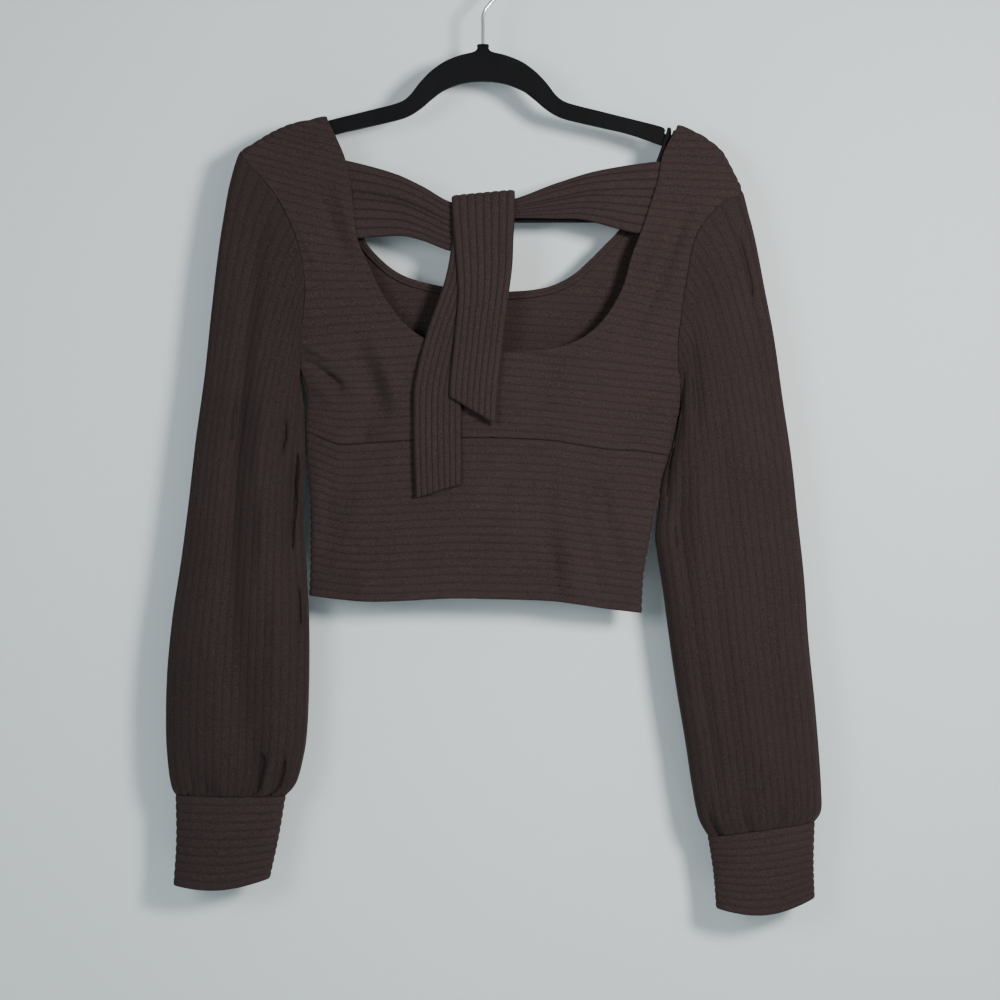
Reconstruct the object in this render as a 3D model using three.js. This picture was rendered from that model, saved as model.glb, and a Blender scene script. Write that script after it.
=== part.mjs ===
// A long-sleeved crop top of wide ottoman rib, hung on a flocked hanger, in millimetres.
// +X is the viewer's right, -Y is the side with the tie, +Z is up.
// The origin is where a rod carries the hook: the inside of its top.
import * as THREE from "three";
import { mergeVertices } from "three/addons/utils/BufferGeometryUtils.js";

// Driving sizes
const CLOTH = 1.8; // one layer of rib knit between its ridges
const RIDGE = 0.6; // how far a rib stands up
const TIE = 2.8; // the tie is a flat tube of two thinner layers
const SEAM = 0.3; // gap between two pieces at a seam
const HALF_GAP = SEAM / 2;
const ARMHOLE_GAP = { top: 1.2, underarm: 3.4 }; // level, across an armhole edge that slants
const BAND_GAP = 1.3; // measured level, across a neckline edge that slants
const WRAP = 4.5; // how far below the shoulder seam the cloth has turned down over the hanger
const STEP = 1e-3; // share of a surface used to work out its slope
const OVAL = 0.85; // power of the sine that gives a flat-hanging tube its section
const BODY_OVAL = { share: 2.2, depth: 0.6 }; // powers that round the body in from its side seams
const SHOULDER_REACH = 0.3; // share of the bodice's rows that follow the curve of the shoulder seam
const SEAM_REACH = 0.15; // share of its rows that follow the curve of the under-bust seam
const RING = { follows: 0.45, shapes: 0.35 }; // shares of a sleeve that keep the armhole's line and depth
const BAND_START = { share: 0.3, power: 1.5 }; // stretch over which a band leaves the neckline's slant
const BAND_ROLL = { depth: 2.6, at: 0.28, wide: 0.14 }; // soft roll along a band
const BAND_INSIDE = 0.4; // how far behind the face of the body a band is sewn on
const LEFT = -1;
const RIGHT = 1;
const TIE_SIDE = -1;
const PLAIN_SIDE = 1;
const ALL_ROUND = 2 * Math.PI;

const knit = new THREE.MeshStandardMaterial({ color: 0x3a2e2c, roughness: 0.92 });
const flock = new THREE.MeshStandardMaterial({ color: 0x141416, roughness: 1 });
const wire = new THREE.MeshStandardMaterial({ color: 0xc8cacc, roughness: 0.2, metalness: 1 });

const top = new THREE.Group();

// Outer edge of the body from the shoulder tip down the armhole and the side seam
const EDGE = {
  [LEFT]: [
    { z: -180, x: -227 }, { z: -203, x: -208 }, { z: -229, x: -189 }, { z: -268, x: -172 },
    { z: -303, x: -166 }, { z: -341, x: -169 }, { z: -375, x: -175 }, { z: -390, x: -168 },
    { z: -407, x: -164 }, { z: -442, x: -165 }, { z: -487, x: -162 }, { z: -514, x: -160 },
    { z: -561, x: -160 }, { z: -596, x: -161 },
  ],
  [RIGHT]: [
    { z: -216, x: 242 }, { z: -226, x: 225 }, { z: -244, x: 207 }, { z: -264, x: 197 },
    { z: -292, x: 191 }, { z: -331, x: 185 }, { z: -365, x: 182 }, { z: -408, x: 185 },
    { z: -421, x: 184 }, { z: -435, x: 180 }, { z: -464, x: 173 }, { z: -485, x: 167 },
    { z: -510, x: 162 }, { z: -534, x: 157 }, { z: -576, x: 149 }, { z: -612, x: 147 },
  ],
};
const TIP_Z = { [LEFT]: -180, [RIGHT]: -216 };
const UNDERARM_Z = { [LEFT]: -375, [RIGHT]: -408 };
const SIDE_SEAM_Z = { [LEFT]: -442, [RIGHT]: -464 }; // where the under-bust seam meets the side
const HEM_Z = { [LEFT]: -596, [RIGHT]: -612 };

// Shoulder seam from the shoulder tip to the neck point
const SHOULDER = {
  [LEFT]: [
    { x: -227, z: -180 }, { x: -214, z: -172 }, { x: -201, z: -164 }, { x: -191, z: -159 },
    { x: -178, z: -154 }, { x: -164, z: -151 }, { x: -147, z: -147 },
  ],
  [RIGHT]: [
    { x: 183, z: -155 }, { x: 190, z: -158 }, { x: 203, z: -164 }, { x: 215, z: -172 },
    { x: 224, z: -180 }, { x: 230, z: -190 }, { x: 236, z: -202 }, { x: 242, z: -216 },
  ],
};
const NECK_POINT_Z = { [LEFT]: -147, [RIGHT]: -155 };

// Neckline on each side of the body, from the neck points to its lowest point
const NECK = {
  [TIE_SIDE]: {
    bottom: { x: 25, z: -368 },
    edgeZ: { [LEFT]: -380, [RIGHT]: -398 }, // height at the sides of the row that meets the bottom
    [LEFT]: [
      { z: -147, x: -147 }, { z: -165, x: -138 }, { z: -186, x: -129 }, { z: -209, x: -124 },
      { z: -235, x: -121 }, { z: -262, x: -117 }, { z: -286, x: -107 }, { z: -308, x: -97 },
      { z: -331, x: -82 }, { z: -350, x: -63 }, { z: -362, x: -38 }, { z: -366.5, x: -10 },
      { z: -368, x: 25 },
    ],
    [RIGHT]: [
      { z: -155, x: 183 }, { z: -167, x: 176 }, { z: -184, x: 168 }, { z: -205, x: 164 },
      { z: -228, x: 157 }, { z: -252, x: 149 }, { z: -278, x: 139 }, { z: -306, x: 131 },
      { z: -333, x: 116 }, { z: -352, x: 97 }, { z: -362, x: 76 }, { z: -366.5, x: 55 }, { z: -368, x: 25 },
    ],
  },
  [PLAIN_SIDE]: {
    bottom: { x: 21, z: -309 },
    edgeZ: { [LEFT]: -330, [RIGHT]: -350 },
    [LEFT]: [
      { z: -147, x: -147 }, { z: -165, x: -141 }, { z: -188, x: -133 }, { z: -214, x: -127 },
      { z: -238, x: -120 }, { z: -263, x: -110 }, { z: -278, x: -97 }, { z: -290, x: -82 },
      { z: -298, x: -64 }, { z: -304, x: -38 }, { z: -308, x: -5 }, { z: -309, x: 21 },
    ],
    [RIGHT]: [
      { z: -155, x: 183 }, { z: -177, x: 174 }, { z: -200, x: 162 }, { z: -222, x: 149 },
      { z: -241, x: 136 }, { z: -256, x: 124 }, { z: -266, x: 114 }, { z: -278, x: 102 },
      { z: -293, x: 85 }, { z: -303, x: 66 }, { z: -307.5, x: 45 }, { z: -309, x: 21 },
    ],
  },
};

// Under-bust seam and hem, across the body
const UNDER_BUST = [
  { x: -165, z: -442 }, { x: -155, z: -446 }, { x: -146, z: -450 }, { x: -133, z: -454 },
  { x: -110, z: -453 }, { x: -65, z: -450 }, { x: -18, z: -448 }, { x: 9, z: -448 },
  { x: 37, z: -449 }, { x: 68, z: -451 }, { x: 92, z: -455 }, { x: 121, z: -459 },
  { x: 145, z: -460 }, { x: 173, z: -464 },
];
const HEM = [
  { x: -161, z: -596 }, { x: -134, z: -599 }, { x: -107, z: -601 }, { x: -70, z: -600 },
  { x: -35, z: -598 }, { x: -8, z: -598 }, { x: 58, z: -600 }, { x: 85, z: -603 },
  { x: 110, z: -607 }, { x: 147, z: -612 },
];
const WAIST_CENTRE = { topX: 9, hemX: -8 };

// Half the depth of the body, along the armhole from underarm to tip, and down its middle
const EDGE_DEPTH = [
  { share: 0, depth: 0 }, { share: 0.08, depth: 4 }, { share: 0.2, depth: 7.5 },
  { share: 0.45, depth: 10 }, { share: 0.75, depth: 9 }, { share: 0.9, depth: 6 },
  { share: 1, depth: 4.4 },
];
const MIDDLE_DEPTH = [
  { z: -147, depth: 4.4 }, { z: -170, depth: 5 }, { z: -215, depth: 7 }, { z: -270, depth: 9 },
  { z: -368, depth: 12.5 }, { z: -450, depth: 15 }, { z: -530, depth: 14 }, { z: -612, depth: 13 },
];

// Soft folds of the body: a trough of this depth along a leaning line
const BODY_FOLDS = {
  [TIE_SIDE]: [
    { x: -128, z: -268, long: 34, lean: -0.35, wide: 13, depth: 2.2 },
    { x: -146, z: -392, long: 24, lean: -1.1, wide: 12, depth: 2.6 },
    { x: 168, z: -300, long: 40, lean: 0.3, wide: 13, depth: 2.2 },
    { x: -92, z: -425, long: 60, lean: -0.3, wide: 24, depth: 1.6 },
    { x: 96, z: -520, long: 60, lean: 0.15, wide: 22, depth: 1.2 },
  ],
  [PLAIN_SIDE]: [
    { x: -132, z: -390, long: 50, lean: -0.6, wide: 18, depth: 2.2 },
    { x: 140, z: -410, long: 60, lean: 0.5, wide: 18, depth: 2.2 },
    { x: 20, z: -500, long: 70, lean: 0.1, wide: 26, depth: 1.4 },
  ],
};

// Sleeve outline as it hangs: outer edge, inner edge and half depth at each station
const SLEEVE = {
  [LEFT]: [
    { outX: -227, outZ: -180, inX: -175, inZ: -375, half: 9 },
    { outX: -237, outZ: -205, inX: -175, inZ: -399, half: 11 },
    { outX: -244, outZ: -241, inX: -172, inZ: -422, half: 13 },
    { outX: -250, outZ: -282, inX: -169.5, inZ: -446, half: 15 },
    { outX: -256, outZ: -335, inX: -168, inZ: -470, half: 17 },
    { outX: -262, outZ: -391, inX: -168.5, inZ: -496, half: 18 },
    { outX: -270, outZ: -449, inX: -168, inZ: -522, half: 19 },
    { outX: -277, outZ: -510, inX: -167, inZ: -548, half: 20 },
    { outX: -284, outZ: -564, inX: -165, inZ: -579, half: 21 },
    { outX: -292, outZ: -617, inX: -163, inZ: -623, half: 22 },
    { outX: -297, outZ: -670, inX: -163, inZ: -675, half: 23 },
    { outX: -298, outZ: -722, inX: -165, inZ: -724, half: 22 },
    { outX: -296, outZ: -755, inX: -169, inZ: -750, half: 20 },
    { outX: -293, outZ: -774, inX: -175, inZ: -771, half: 17 },
    { outX: -289, outZ: -782, inX: -185, inZ: -783, half: 12 },
  ],
  [RIGHT]: [
    { outX: 242, outZ: -216, inX: 185, inZ: -408, half: 9 },
    { outX: 250, outZ: -238, inX: 187.6, inZ: -424, half: 11 },
    { outX: 257, outZ: -266, inX: 181.6, inZ: -446, half: 13 },
    { outX: 265, outZ: -308, inX: 176, inZ: -467, half: 15 },
    { outX: 274, outZ: -355, inX: 169.6, inZ: -490, half: 17 },
    { outX: 282, outZ: -412, inX: 165, inZ: -514, half: 18 },
    { outX: 290, outZ: -466, inX: 161.6, inZ: -538, half: 19 },
    { outX: 296, outZ: -523, inX: 164, inZ: -560, half: 20 },
    { outX: 302, outZ: -579, inX: 169, inZ: -593, half: 21 },
    { outX: 306, outZ: -637, inX: 175, inZ: -638, half: 22 },
    { outX: 312, outZ: -697, inX: 182, inZ: -686, half: 23 },
    { outX: 316, outZ: -745, inX: 190, inZ: -734, half: 22 },
    { outX: 318, outZ: -778, inX: 196, inZ: -774, half: 20 },
    { outX: 318, outZ: -797, inX: 202, inZ: -804, half: 17 },
    { outX: 312, outZ: -807, inX: 211, inZ: -821, half: 12 },
  ],
};
// Lengthwise troughs of the sleeves, by their place round the sleeve and along it
const SLEEVE_FOLDS = [
  { turn: 0.13, at: 0.28, long: 0.2, wide: 0.045, depth: 2.4 },
  { turn: 0.3, at: 0.82, long: 0.12, wide: 0.05, depth: 2.8 },
  { turn: 0.2, at: 0.6, long: 0.22, wide: 0.05, depth: 1.8 },
  { turn: 0.7, at: 0.75, long: 0.2, wide: 0.05, depth: 2.6 },
  { turn: 0.82, at: 0.4, long: 0.2, wide: 0.05, depth: 2 },
];
const CUFF = {
  [LEFT]: [
    { outX: -289, outZ: -782, inX: -185, inZ: -783, half: 12, dip: 0 },
    { outX: -288.5, outZ: -825, inX: -192, inZ: -824, half: 11, dip: 2 },
    { outX: -291, outZ: -867, inX: -200, inZ: -861, half: 10.5, dip: 6 },
  ],
  [RIGHT]: [
    { outX: 312, outZ: -807, inX: 211, inZ: -821, half: 12, dip: 0 },
    { outX: 311, outZ: -846, inX: 216, inZ: -854, half: 11, dip: 4 },
    { outX: 312, outZ: -879, inX: 219, inZ: -889, half: 10.5, dip: 9 },
  ],
};

// Tie: each row has the two edges of the strip and how far in front of the body it lies
const BAND = {
  [LEFT]: [
    { upX: -116, upZ: -190, lowX: -99, lowZ: -260, y: -7.5 },
    { upX: -84, upZ: -200, lowX: -77, lowZ: -259, y: -8 },
    { upX: -56, upZ: -213, lowX: -56, lowZ: -264, y: -8.8 },
    { upX: -29, upZ: -228, lowX: -29, lowZ: -274, y: -9.8 },
    { upX: -0.3, upZ: -230, lowX: -0.3, lowZ: -276, y: -10 },
  ],
  [RIGHT]: [
    { upX: 149, upZ: -189, lowX: 124, lowZ: -256, y: -8 },
    { upX: 107, upZ: -198, lowX: 97, lowZ: -245, y: -8.6 },
    { upX: 66, upZ: -211, lowX: 66, lowZ: -243.5, y: -9.2 },
    { upX: 30, upZ: -224.5, lowX: 30, lowZ: -243, y: -9.8 },
    { upX: 0.3, upZ: -229, lowX: 0.3, lowZ: -243, y: -10 },
  ],
};
const BAND_SEWN = { [LEFT]: { up: -186, low: -262 }, [RIGHT]: { up: -188, low: -258 } };
const FRONT_TAIL = [
  { leftX: -28, leftZ: -237, rightX: 29, rightZ: -233, y: -9 },
  { leftX: -28.5, leftZ: -229.5, rightX: 29.5, rightZ: -225, y: -8.9 },
  { leftX: -29, leftZ: -225, rightX: 30, rightZ: -219.5, y: -11.8 },
  { leftX: -29, leftZ: -229, rightX: 30, rightZ: -223.5, y: -14.9 },
  { leftX: -28, leftZ: -246, rightX: 29.5, rightZ: -244, y: -16.8 },
  { leftX: -26, leftZ: -268, rightX: 28.5, rightZ: -266, y: -17.8 },
  { leftX: -24, leftZ: -292, rightX: 27.5, rightZ: -289, y: -18 },
  { leftX: -23, leftZ: -316, rightX: 24.5, rightZ: -313, y: -18.3 },
  { leftX: -25, leftZ: -342, rightX: 20.5, rightZ: -342, y: -19.6 },
  { leftX: -27.5, leftZ: -368, rightX: 17, rightZ: -372, y: -21.6 },
  { leftX: -30, leftZ: -393, rightX: 13.5, rightZ: -404, y: -23 },
  { leftX: -31, leftZ: -410, rightX: 12, rightZ: -436, y: -23.8 },
];
const REAR_TAIL = [
  { leftX: -27, leftZ: -256, rightX: 16, rightZ: -256, y: -13.9 },
  { leftX: -35, leftZ: -300, rightX: 8, rightZ: -302, y: -14.2 },
  { leftX: -52, leftZ: -350, rightX: -7, rightZ: -352, y: -15.8 },
  { leftX: -63, leftZ: -398, rightX: -17, rightZ: -392, y: -18.6 },
  { leftX: -64, leftZ: -431, rightX: -20, rightZ: -424, y: -19.6 },
  { leftX: -63.5, leftZ: -468, rightX: -20, rightZ: -458, y: -20 },
  { leftX: -62, leftZ: -504, rightX: -20, rightZ: -491, y: -20.2 },
];

// Counts that set how fine the walls are
const RIBS = {
  neck: { [TIE_SIDE]: 28, [PLAIN_SIDE]: 21 },
  chest: { [TIE_SIDE]: 10, [PLAIN_SIDE]: 17 },
  waist: 20,
};
const BODY_COLUMNS = 5;
const SLEEVE_RIBS = 32;
const CUFF_RIBS = 11;
const CUFF_COLUMNS = 20;
const TIE_RIBS = 8;

// A smooth line through a table's rows, read at one value of its key column
function read(rows, key, value, column) {
  const down = rows[0][key] > rows[rows.length - 1][key] ? -1 : 1;
  let i = 0;
  while (i < rows.length - 2 && down * value > down * rows[i + 1][key]) i++;
  const slope = (a) => {
    const before = rows[Math.max(a - 1, 0)];
    const after = rows[Math.min(a + 1, rows.length - 1)];
    return (after[column] - before[column]) / (after[key] - before[key]);
  };
  const span = rows[i + 1][key] - rows[i][key];
  const s = THREE.MathUtils.clamp((value - rows[i][key]) / span, 0, 1);
  const s2 = s * s;
  const s3 = s2 * s;
  return (
    (2 * s3 - 3 * s2 + 1) * rows[i][column] +
    (s3 - 2 * s2 + s) * span * slope(i) +
    (3 * s2 - 2 * s3) * rows[i + 1][column] +
    (s3 - s2) * span * slope(i + 1)
  );
}

// The same for a table whose rows are evenly spaced stations
function station(rows, share, column) {
  const numbered = rows.map((row, index) => ({ ...row, index }));
  return read(numbered, "index", share * (rows.length - 1), column);
}

function evenly(count) {
  return Array.from({ length: count + 1 }, (unused, i) => i / count);
}

// Triangles between two lines of points that start and end at the same shares
function zip(triangles, fine, coarse) {
  let i = 0;
  let j = 0;
  while (i < fine.length - 1 || j < coarse.length - 1) {
    const nextFine = i < fine.length - 1 ? fine[i + 1].share : Infinity;
    const nextCoarse = j < coarse.length - 1 ? coarse[j + 1].share : Infinity;
    if (nextFine <= nextCoarse) {
      triangles.push([fine[i + 1].point, fine[i].point, coarse[j].point]);
      i++;
    } else {
      triangles.push([fine[i].point, coarse[j].point, coarse[j + 1].point]);
      j++;
    }
  }
}

// A grid of points of one face of a wall
function gridOf(surface, us, vs, lift) {
  return vs.map((v, row) =>
    us.map((u, column) => {
      const { point, normal } = surface(u, v);
      return point.clone().addScaledVector(normal, lift(column, row));
    }),
  );
}

function skin(triangles, grid, reversed) {
  for (let row = 0; row < grid.length - 1; row++) {
    for (let column = 0; column < grid[0].length - 1; column++) {
      const a = grid[row][column];
      const b = grid[row][column + 1];
      const c = grid[row + 1][column + 1];
      const d = grid[row + 1][column];
      triangles.push(reversed ? [c, b, a] : [a, b, c]);
      triangles.push(reversed ? [d, c, a] : [a, c, d]);
    }
  }
}

// Adds one wall: a ribbed outer face, a plain inner face and the edges between them.
// joined says down from which share of v its u = 1 edge is shared with a neighbour.
function addWall(triangles, surface, outer, inner, lift, joined = Infinity, around = false) {
  const out = gridOf(surface, outer.us, outer.vs, lift);
  const plain = gridOf(surface, inner.us, inner.vs, () => 0);
  const own = [];
  skin(own, out, false);
  skin(own, plain, true);
  const line = (grid, shares, pick) => shares.map((share, i) => ({ share, point: pick(grid, i) }));
  const last = (grid) => grid.length - 1;
  const edge = (shares, pick, from = 0, to = 1) => {
    const side = (set, grid) =>
      line(grid, set[shares], pick).filter((item) => item.share >= from - 1e-9 && item.share <= to + 1e-9);
    return [side(outer, out), side(inner, plain)];
  };
  const turned = ([a, b]) => {
    const flip = (list) => list.map(({ share, point }) => ({ share: 1 - share, point })).reverse();
    return [flip(a), flip(b)];
  };
  zip(own, ...edge("us", (grid, i) => grid[0][i]));
  zip(own, ...turned(edge("us", (grid, i) => grid[last(grid)][i])));
  if (!around) {
    zip(own, ...edge("vs", (grid, i) => grid[i][grid[0].length - 1], 0, Math.min(joined, 1)));
    zip(own, ...turned(edge("vs", (grid, i) => grid[i][0])));
  }
  triangles.push(...own);
}

function meshOf(name, triangles, material) {
  const geometry = new THREE.BufferGeometry().setFromPoints(triangles.flat());
  const volume = triangles.reduce((sum, [a, b, c]) => sum + a.dot(b.clone().cross(c)), 0);
  if (volume < 0) {
    geometry.setFromPoints(triangles.flatMap(([a, b, c]) => [a, c, b]));
  }
  const mesh = new THREE.Mesh(mergeVertices(geometry, 1e-3), material);
  mesh.geometry.computeVertexNormals();
  mesh.name = name;
  top.add(mesh);
}

// How far the cloth has opened at a distance below the shoulder seam
function opened(below) {
  const closed = 1 - Math.min(Math.max(below / WRAP, 0), 1);
  return Math.sqrt(1 - closed * closed);
}

function armholeDepth(side, z) {
  const share = (z - UNDERARM_Z[side]) / (TIP_Z[side] - UNDERARM_Z[side]);
  return share <= 0 ? 0 : read(EDGE_DEPTH, "share", Math.min(share, 1), "depth");
}

function foldAt(face, x, z) {
  return BODY_FOLDS[face].reduce((sum, fold) => {
    const along = (z - fold.z) / fold.long;
    const across = (x - fold.x - fold.lean * (z - fold.z)) / fold.wide;
    return sum + fold.depth * Math.exp(-along * along - across * across);
  }, 0);
}

// Half depth of the body: round at the side seams, held open along the armholes
function bodyDepth(side, face, u, edgeZ, x, z, below) {
  const edge = armholeDepth(side, edgeZ);
  const folded = foldAt(face, x, z) * Math.sin(Math.PI * Math.min(u, 0.5));
  const middle = read(MIDDLE_DEPTH, "z", z, "depth") - folded;
  const rounded = Math.pow(1 - Math.pow(1 - u, BODY_OVAL.share), BODY_OVAL.depth);
  return HALF_GAP + opened(below) * (edge + (middle - edge) * rounded);
}

// A point of the bodice: u from the outer edge to the neckline or centre line, v down
function bodicePoint(side, face, u, v) {
  const neck = NECK[face];
  const join = RIBS.neck[face] / (RIBS.neck[face] + RIBS.chest[face]);
  const upper = Math.min(v / join, 1);
  const lower = Math.max((v - join) / (1 - join), 0);
  const edgeTop = TIP_Z[side] + (neck.edgeZ[side] - TIP_Z[side]) * upper;
  const edgeZ = edgeTop + (SIDE_SEAM_Z[side] - edgeTop) * lower;
  const edgeX = read(EDGE[side], "z", edgeZ, "x");
  const neckZ = NECK_POINT_Z[side] + (neck.bottom.z - NECK_POINT_Z[side]) * upper;
  const centre = { x: WAIST_CENTRE.topX, z: read(UNDER_BUST, "x", WAIST_CENTRE.topX, "z") };
  const neckX = read(neck[side], "z", neckZ, "x");
  const inX = lower > 0 ? neck.bottom.x + (centre.x - neck.bottom.x) * lower : neckX;
  const inZ = neckZ + (centre.z - neckZ) * lower;
  const x = edgeX + (inX - edgeX) * u;
  let z = edgeZ + (inZ - edgeZ) * u;
  const tip = { x: read(EDGE[side], "z", TIP_Z[side], "x"), z: TIP_Z[side] };
  const topX = tip.x + (read(neck[side], "z", NECK_POINT_Z[side], "x") - tip.x) * u;
  const topZ = tip.z + (NECK_POINT_Z[side] - tip.z) * u;
  z += (read(SHOULDER[side], "x", topX, "z") - topZ) * Math.max(1 - v / SHOULDER_REACH, 0);
  const seamZ = SIDE_SEAM_Z[side] + (centre.z - SIDE_SEAM_Z[side]) * u;
  z += (read(UNDER_BUST, "x", x, "z") - seamZ) * Math.max(1 - (1 - v) / SEAM_REACH, 0);
  const below = v * (TIP_Z[side] - SIDE_SEAM_Z[side]);
  return new THREE.Vector3(x, face * bodyDepth(side, face, u, edgeZ, x, z, below), z);
}

// A point of the waist panel: u from the side seam to the centre line, v down to the hem
function waistPoint(side, face, u, v) {
  const seamX = read(EDGE[side], "z", SIDE_SEAM_Z[side], "x");
  const topX = seamX + (WAIST_CENTRE.topX - seamX) * u;
  const topZ = read(UNDER_BUST, "x", topX, "z") - SEAM;
  const hemEdge = read(EDGE[side], "z", HEM_Z[side], "x");
  const hemX = hemEdge + (WAIST_CENTRE.hemX - hemEdge) * u;
  const z = topZ + (read(HEM, "x", hemX, "z") - topZ) * v;
  const edgeZ = SIDE_SEAM_Z[side] + (HEM_Z[side] - SIDE_SEAM_Z[side]) * v;
  const edgeX = read(EDGE[side], "z", edgeZ, "x");
  const centreX = WAIST_CENTRE.topX + (WAIST_CENTRE.hemX - WAIST_CENTRE.topX) * v;
  const x = edgeX + (centreX - edgeX) * u;
  return new THREE.Vector3(x, face * bodyDepth(side, face, u, edgeZ, x, z, WRAP), z);
}

// Where two walls meet along the armhole, both edges face straight to the front or back
function squareToArmhole(normal, side, z) {
  const share = (z - UNDERARM_Z[side]) / (TIP_Z[side] - UNDERARM_Z[side]);
  const held = THREE.MathUtils.smoothstep(share, 0, 0.12);
  normal.setX(normal.x * (1 - held)).normalize();
}

// A body surface with its outward slope; below joinFrom its halves run into each other
function bodySurface(pointAt, side, face, joinFrom) {
  return (u, v) => {
    const point = pointAt(side, face, u, v);
    const centre = u === 1 && v >= joinFrom - 1e-9;
    const before = pointAt(side, face, Math.max(u - STEP, 0), v);
    const after = centre ? pointAt(-side, face, 1 - STEP, v) : pointAt(side, face, Math.min(u + STEP, 1), v);
    const across = after.sub(before).multiplyScalar(-side);
    const above = centre ? point : pointAt(side, face, u, Math.max(v - STEP, 0));
    const down = pointAt(side, face, u, Math.min(v + STEP, 1)).sub(above);
    const normal = across.cross(down).multiplyScalar(face).normalize();
    if (joinFrom === 0 || v === 1) normal.setZ(0).normalize();
    if (u === 0) squareToArmhole(normal, side, point.z);
    return { point, normal };
  };
}

function addBodice(name, face) {
  const ribs = RIBS.neck[face] + RIBS.chest[face];
  const join = RIBS.neck[face] / ribs;
  const rows = 2 * ribs;
  const vs = evenly(rows);
  const neckRow = 2 * RIBS.neck[face];
  // Inner rows lie closer where the cloth turns down over the shoulder
  const coarse = vs.filter((v, i) => i < 3 || i === 5 || i % 6 === 2 || i === neckRow || i === rows);
  const us = evenly(BODY_COLUMNS);
  const lift = (column, row) => CLOTH + (row % 2 ? RIDGE : 0);
  const halves = [LEFT, RIGHT].map((side) => {
    const own = [];
    addWall(own, bodySurface(bodicePoint, side, face, join), { us, vs }, { us, vs: coarse }, lift, join);
    return side === LEFT ? own : own.map(([a, b, c]) => [a, c, b]);
  });
  meshOf(name, halves.flat(), knit);
}

function addWaist(name, face) {
  const rows = 2 * RIBS.waist;
  const vs = evenly(rows);
  const coarse = vs.filter((v, i) => i % 5 === 0);
  const us = evenly(BODY_COLUMNS);
  const lift = (column, row) => CLOTH + (row % 2 ? RIDGE : 0);
  const halves = [LEFT, RIGHT].map((side) => {
    const own = [];
    addWall(own, bodySurface(waistPoint, side, face, 0), { us, vs }, { us, vs: coarse }, lift, 0);
    return side === LEFT ? own : own.map(([a, b, c]) => [a, c, b]);
  });
  meshOf(name, halves.flat(), knit);
}

function sleeveFold(turn, along) {
  return SLEEVE_FOLDS.reduce((sum, fold) => {
    const a = (along - fold.at) / fold.long;
    const b = (turn - fold.turn) / fold.wide;
    return sum + fold.depth * Math.exp(-a * a - b * b);
  }, 0);
}

// A point of one half of a sleeve: u from its outer edge to its inner edge, along runs to the cuff
function sleevePoint(side, face, u, along) {
  const angle = u * Math.PI;
  const turn = face === TIE_SIDE ? u / 2 : 1 - u / 2;
  const s = (1 - Math.cos(angle)) / 2;
  const rows = SLEEVE[side];
  const inset = (CLOTH + RIDGE) * Math.min(along * rows.length, 1);
  const outX = station(rows, along, "outX") - side * inset;
  const inX = station(rows, along, "inX") + side * inset;
  const outZ = station(rows, along, "outZ");
  const inZ = station(rows, along, "inZ");
  const ringZ = TIP_Z[side] + (UNDERARM_Z[side] - TIP_Z[side]) * s;
  const clear = ARMHOLE_GAP.top * (1 + Math.pow(1 - s, 4)) + ARMHOLE_GAP.underarm * Math.pow(s, 4);
  const ringX = read(EDGE[side], "z", ringZ, "x") + side * clear;
  const tipX = read(EDGE[side], "z", TIP_Z[side], "x");
  const underX = read(EDGE[side], "z", UNDERARM_Z[side], "x");
  const fade = Math.pow(Math.max(1 - along / RING.follows, 0), 2);
  const shape = Math.pow(Math.max(1 - along / RING.shapes, 0), 2);
  const x = outX + (inX - outX) * s + (ringX - (tipX + (underX - tipX) * s)) * fade;
  const z = outZ + (inZ - outZ) * s;
  const ringDepth = armholeDepth(side, ringZ) * opened(TIP_Z[side] - ringZ);
  const tube = station(rows, along, "half") * Math.pow(Math.abs(Math.sin(angle)), OVAL);
  const depth = ringDepth * shape + tube * (1 - shape) - sleeveFold(turn, along) * (1 - shape);
  return new THREE.Vector3(x, face * (Math.max(depth, 0) + HALF_GAP), z);
}

function sleeveSurface(side, face) {
  return (u, along) => {
    const point = sleevePoint(side, face, u, along);
    const across = sleevePoint(side, face, Math.min(u + STEP, 1), along).sub(
      sleevePoint(side, face, Math.max(u - STEP, 0), along),
    );
    const down = sleevePoint(side, face, u, Math.min(along + STEP, 1)).sub(
      sleevePoint(side, face, u, Math.max(along - STEP, 0)),
    );
    const normal = across.cross(down).normalize();
    const edges = [0, 1].map((edge) => sleevePoint(side, face, edge, along));
    const middle = edges[0].add(edges[1]).multiplyScalar(0.5);
    if (normal.dot(point.clone().sub(middle)) < 0) normal.negate();
    if (u === 0 || u === 1) normal.setY(0).normalize();
    if (along === 1) normal.setZ(0).normalize();
    if (along === 0 && u > 0 && u < 1) squareToArmhole(normal, side, point.z);
    return { point, normal };
  };
}

function cuffPoint(side, turn, along) {
  const angle = turn * ALL_ROUND;
  const s = (1 - Math.cos(angle)) / 2;
  const rows = CUFF[side];
  const inset = CLOTH + RIDGE;
  const outX = station(rows, along, "outX") - side * inset;
  const inX = station(rows, along, "inX") + side * inset;
  const outZ = station(rows, along, "outZ");
  const inZ = station(rows, along, "inZ");
  const dip = station(rows, along, "dip") * Math.sin(Math.PI * s);
  const depth = station(rows, along, "half") * Math.pow(Math.abs(Math.sin(angle)), OVAL);
  const y = (Math.sin(angle) >= 0 ? -1 : 1) * depth;
  return new THREE.Vector3(outX + (inX - outX) * s, y, outZ + (inZ - outZ) * s - dip - SEAM);
}

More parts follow.
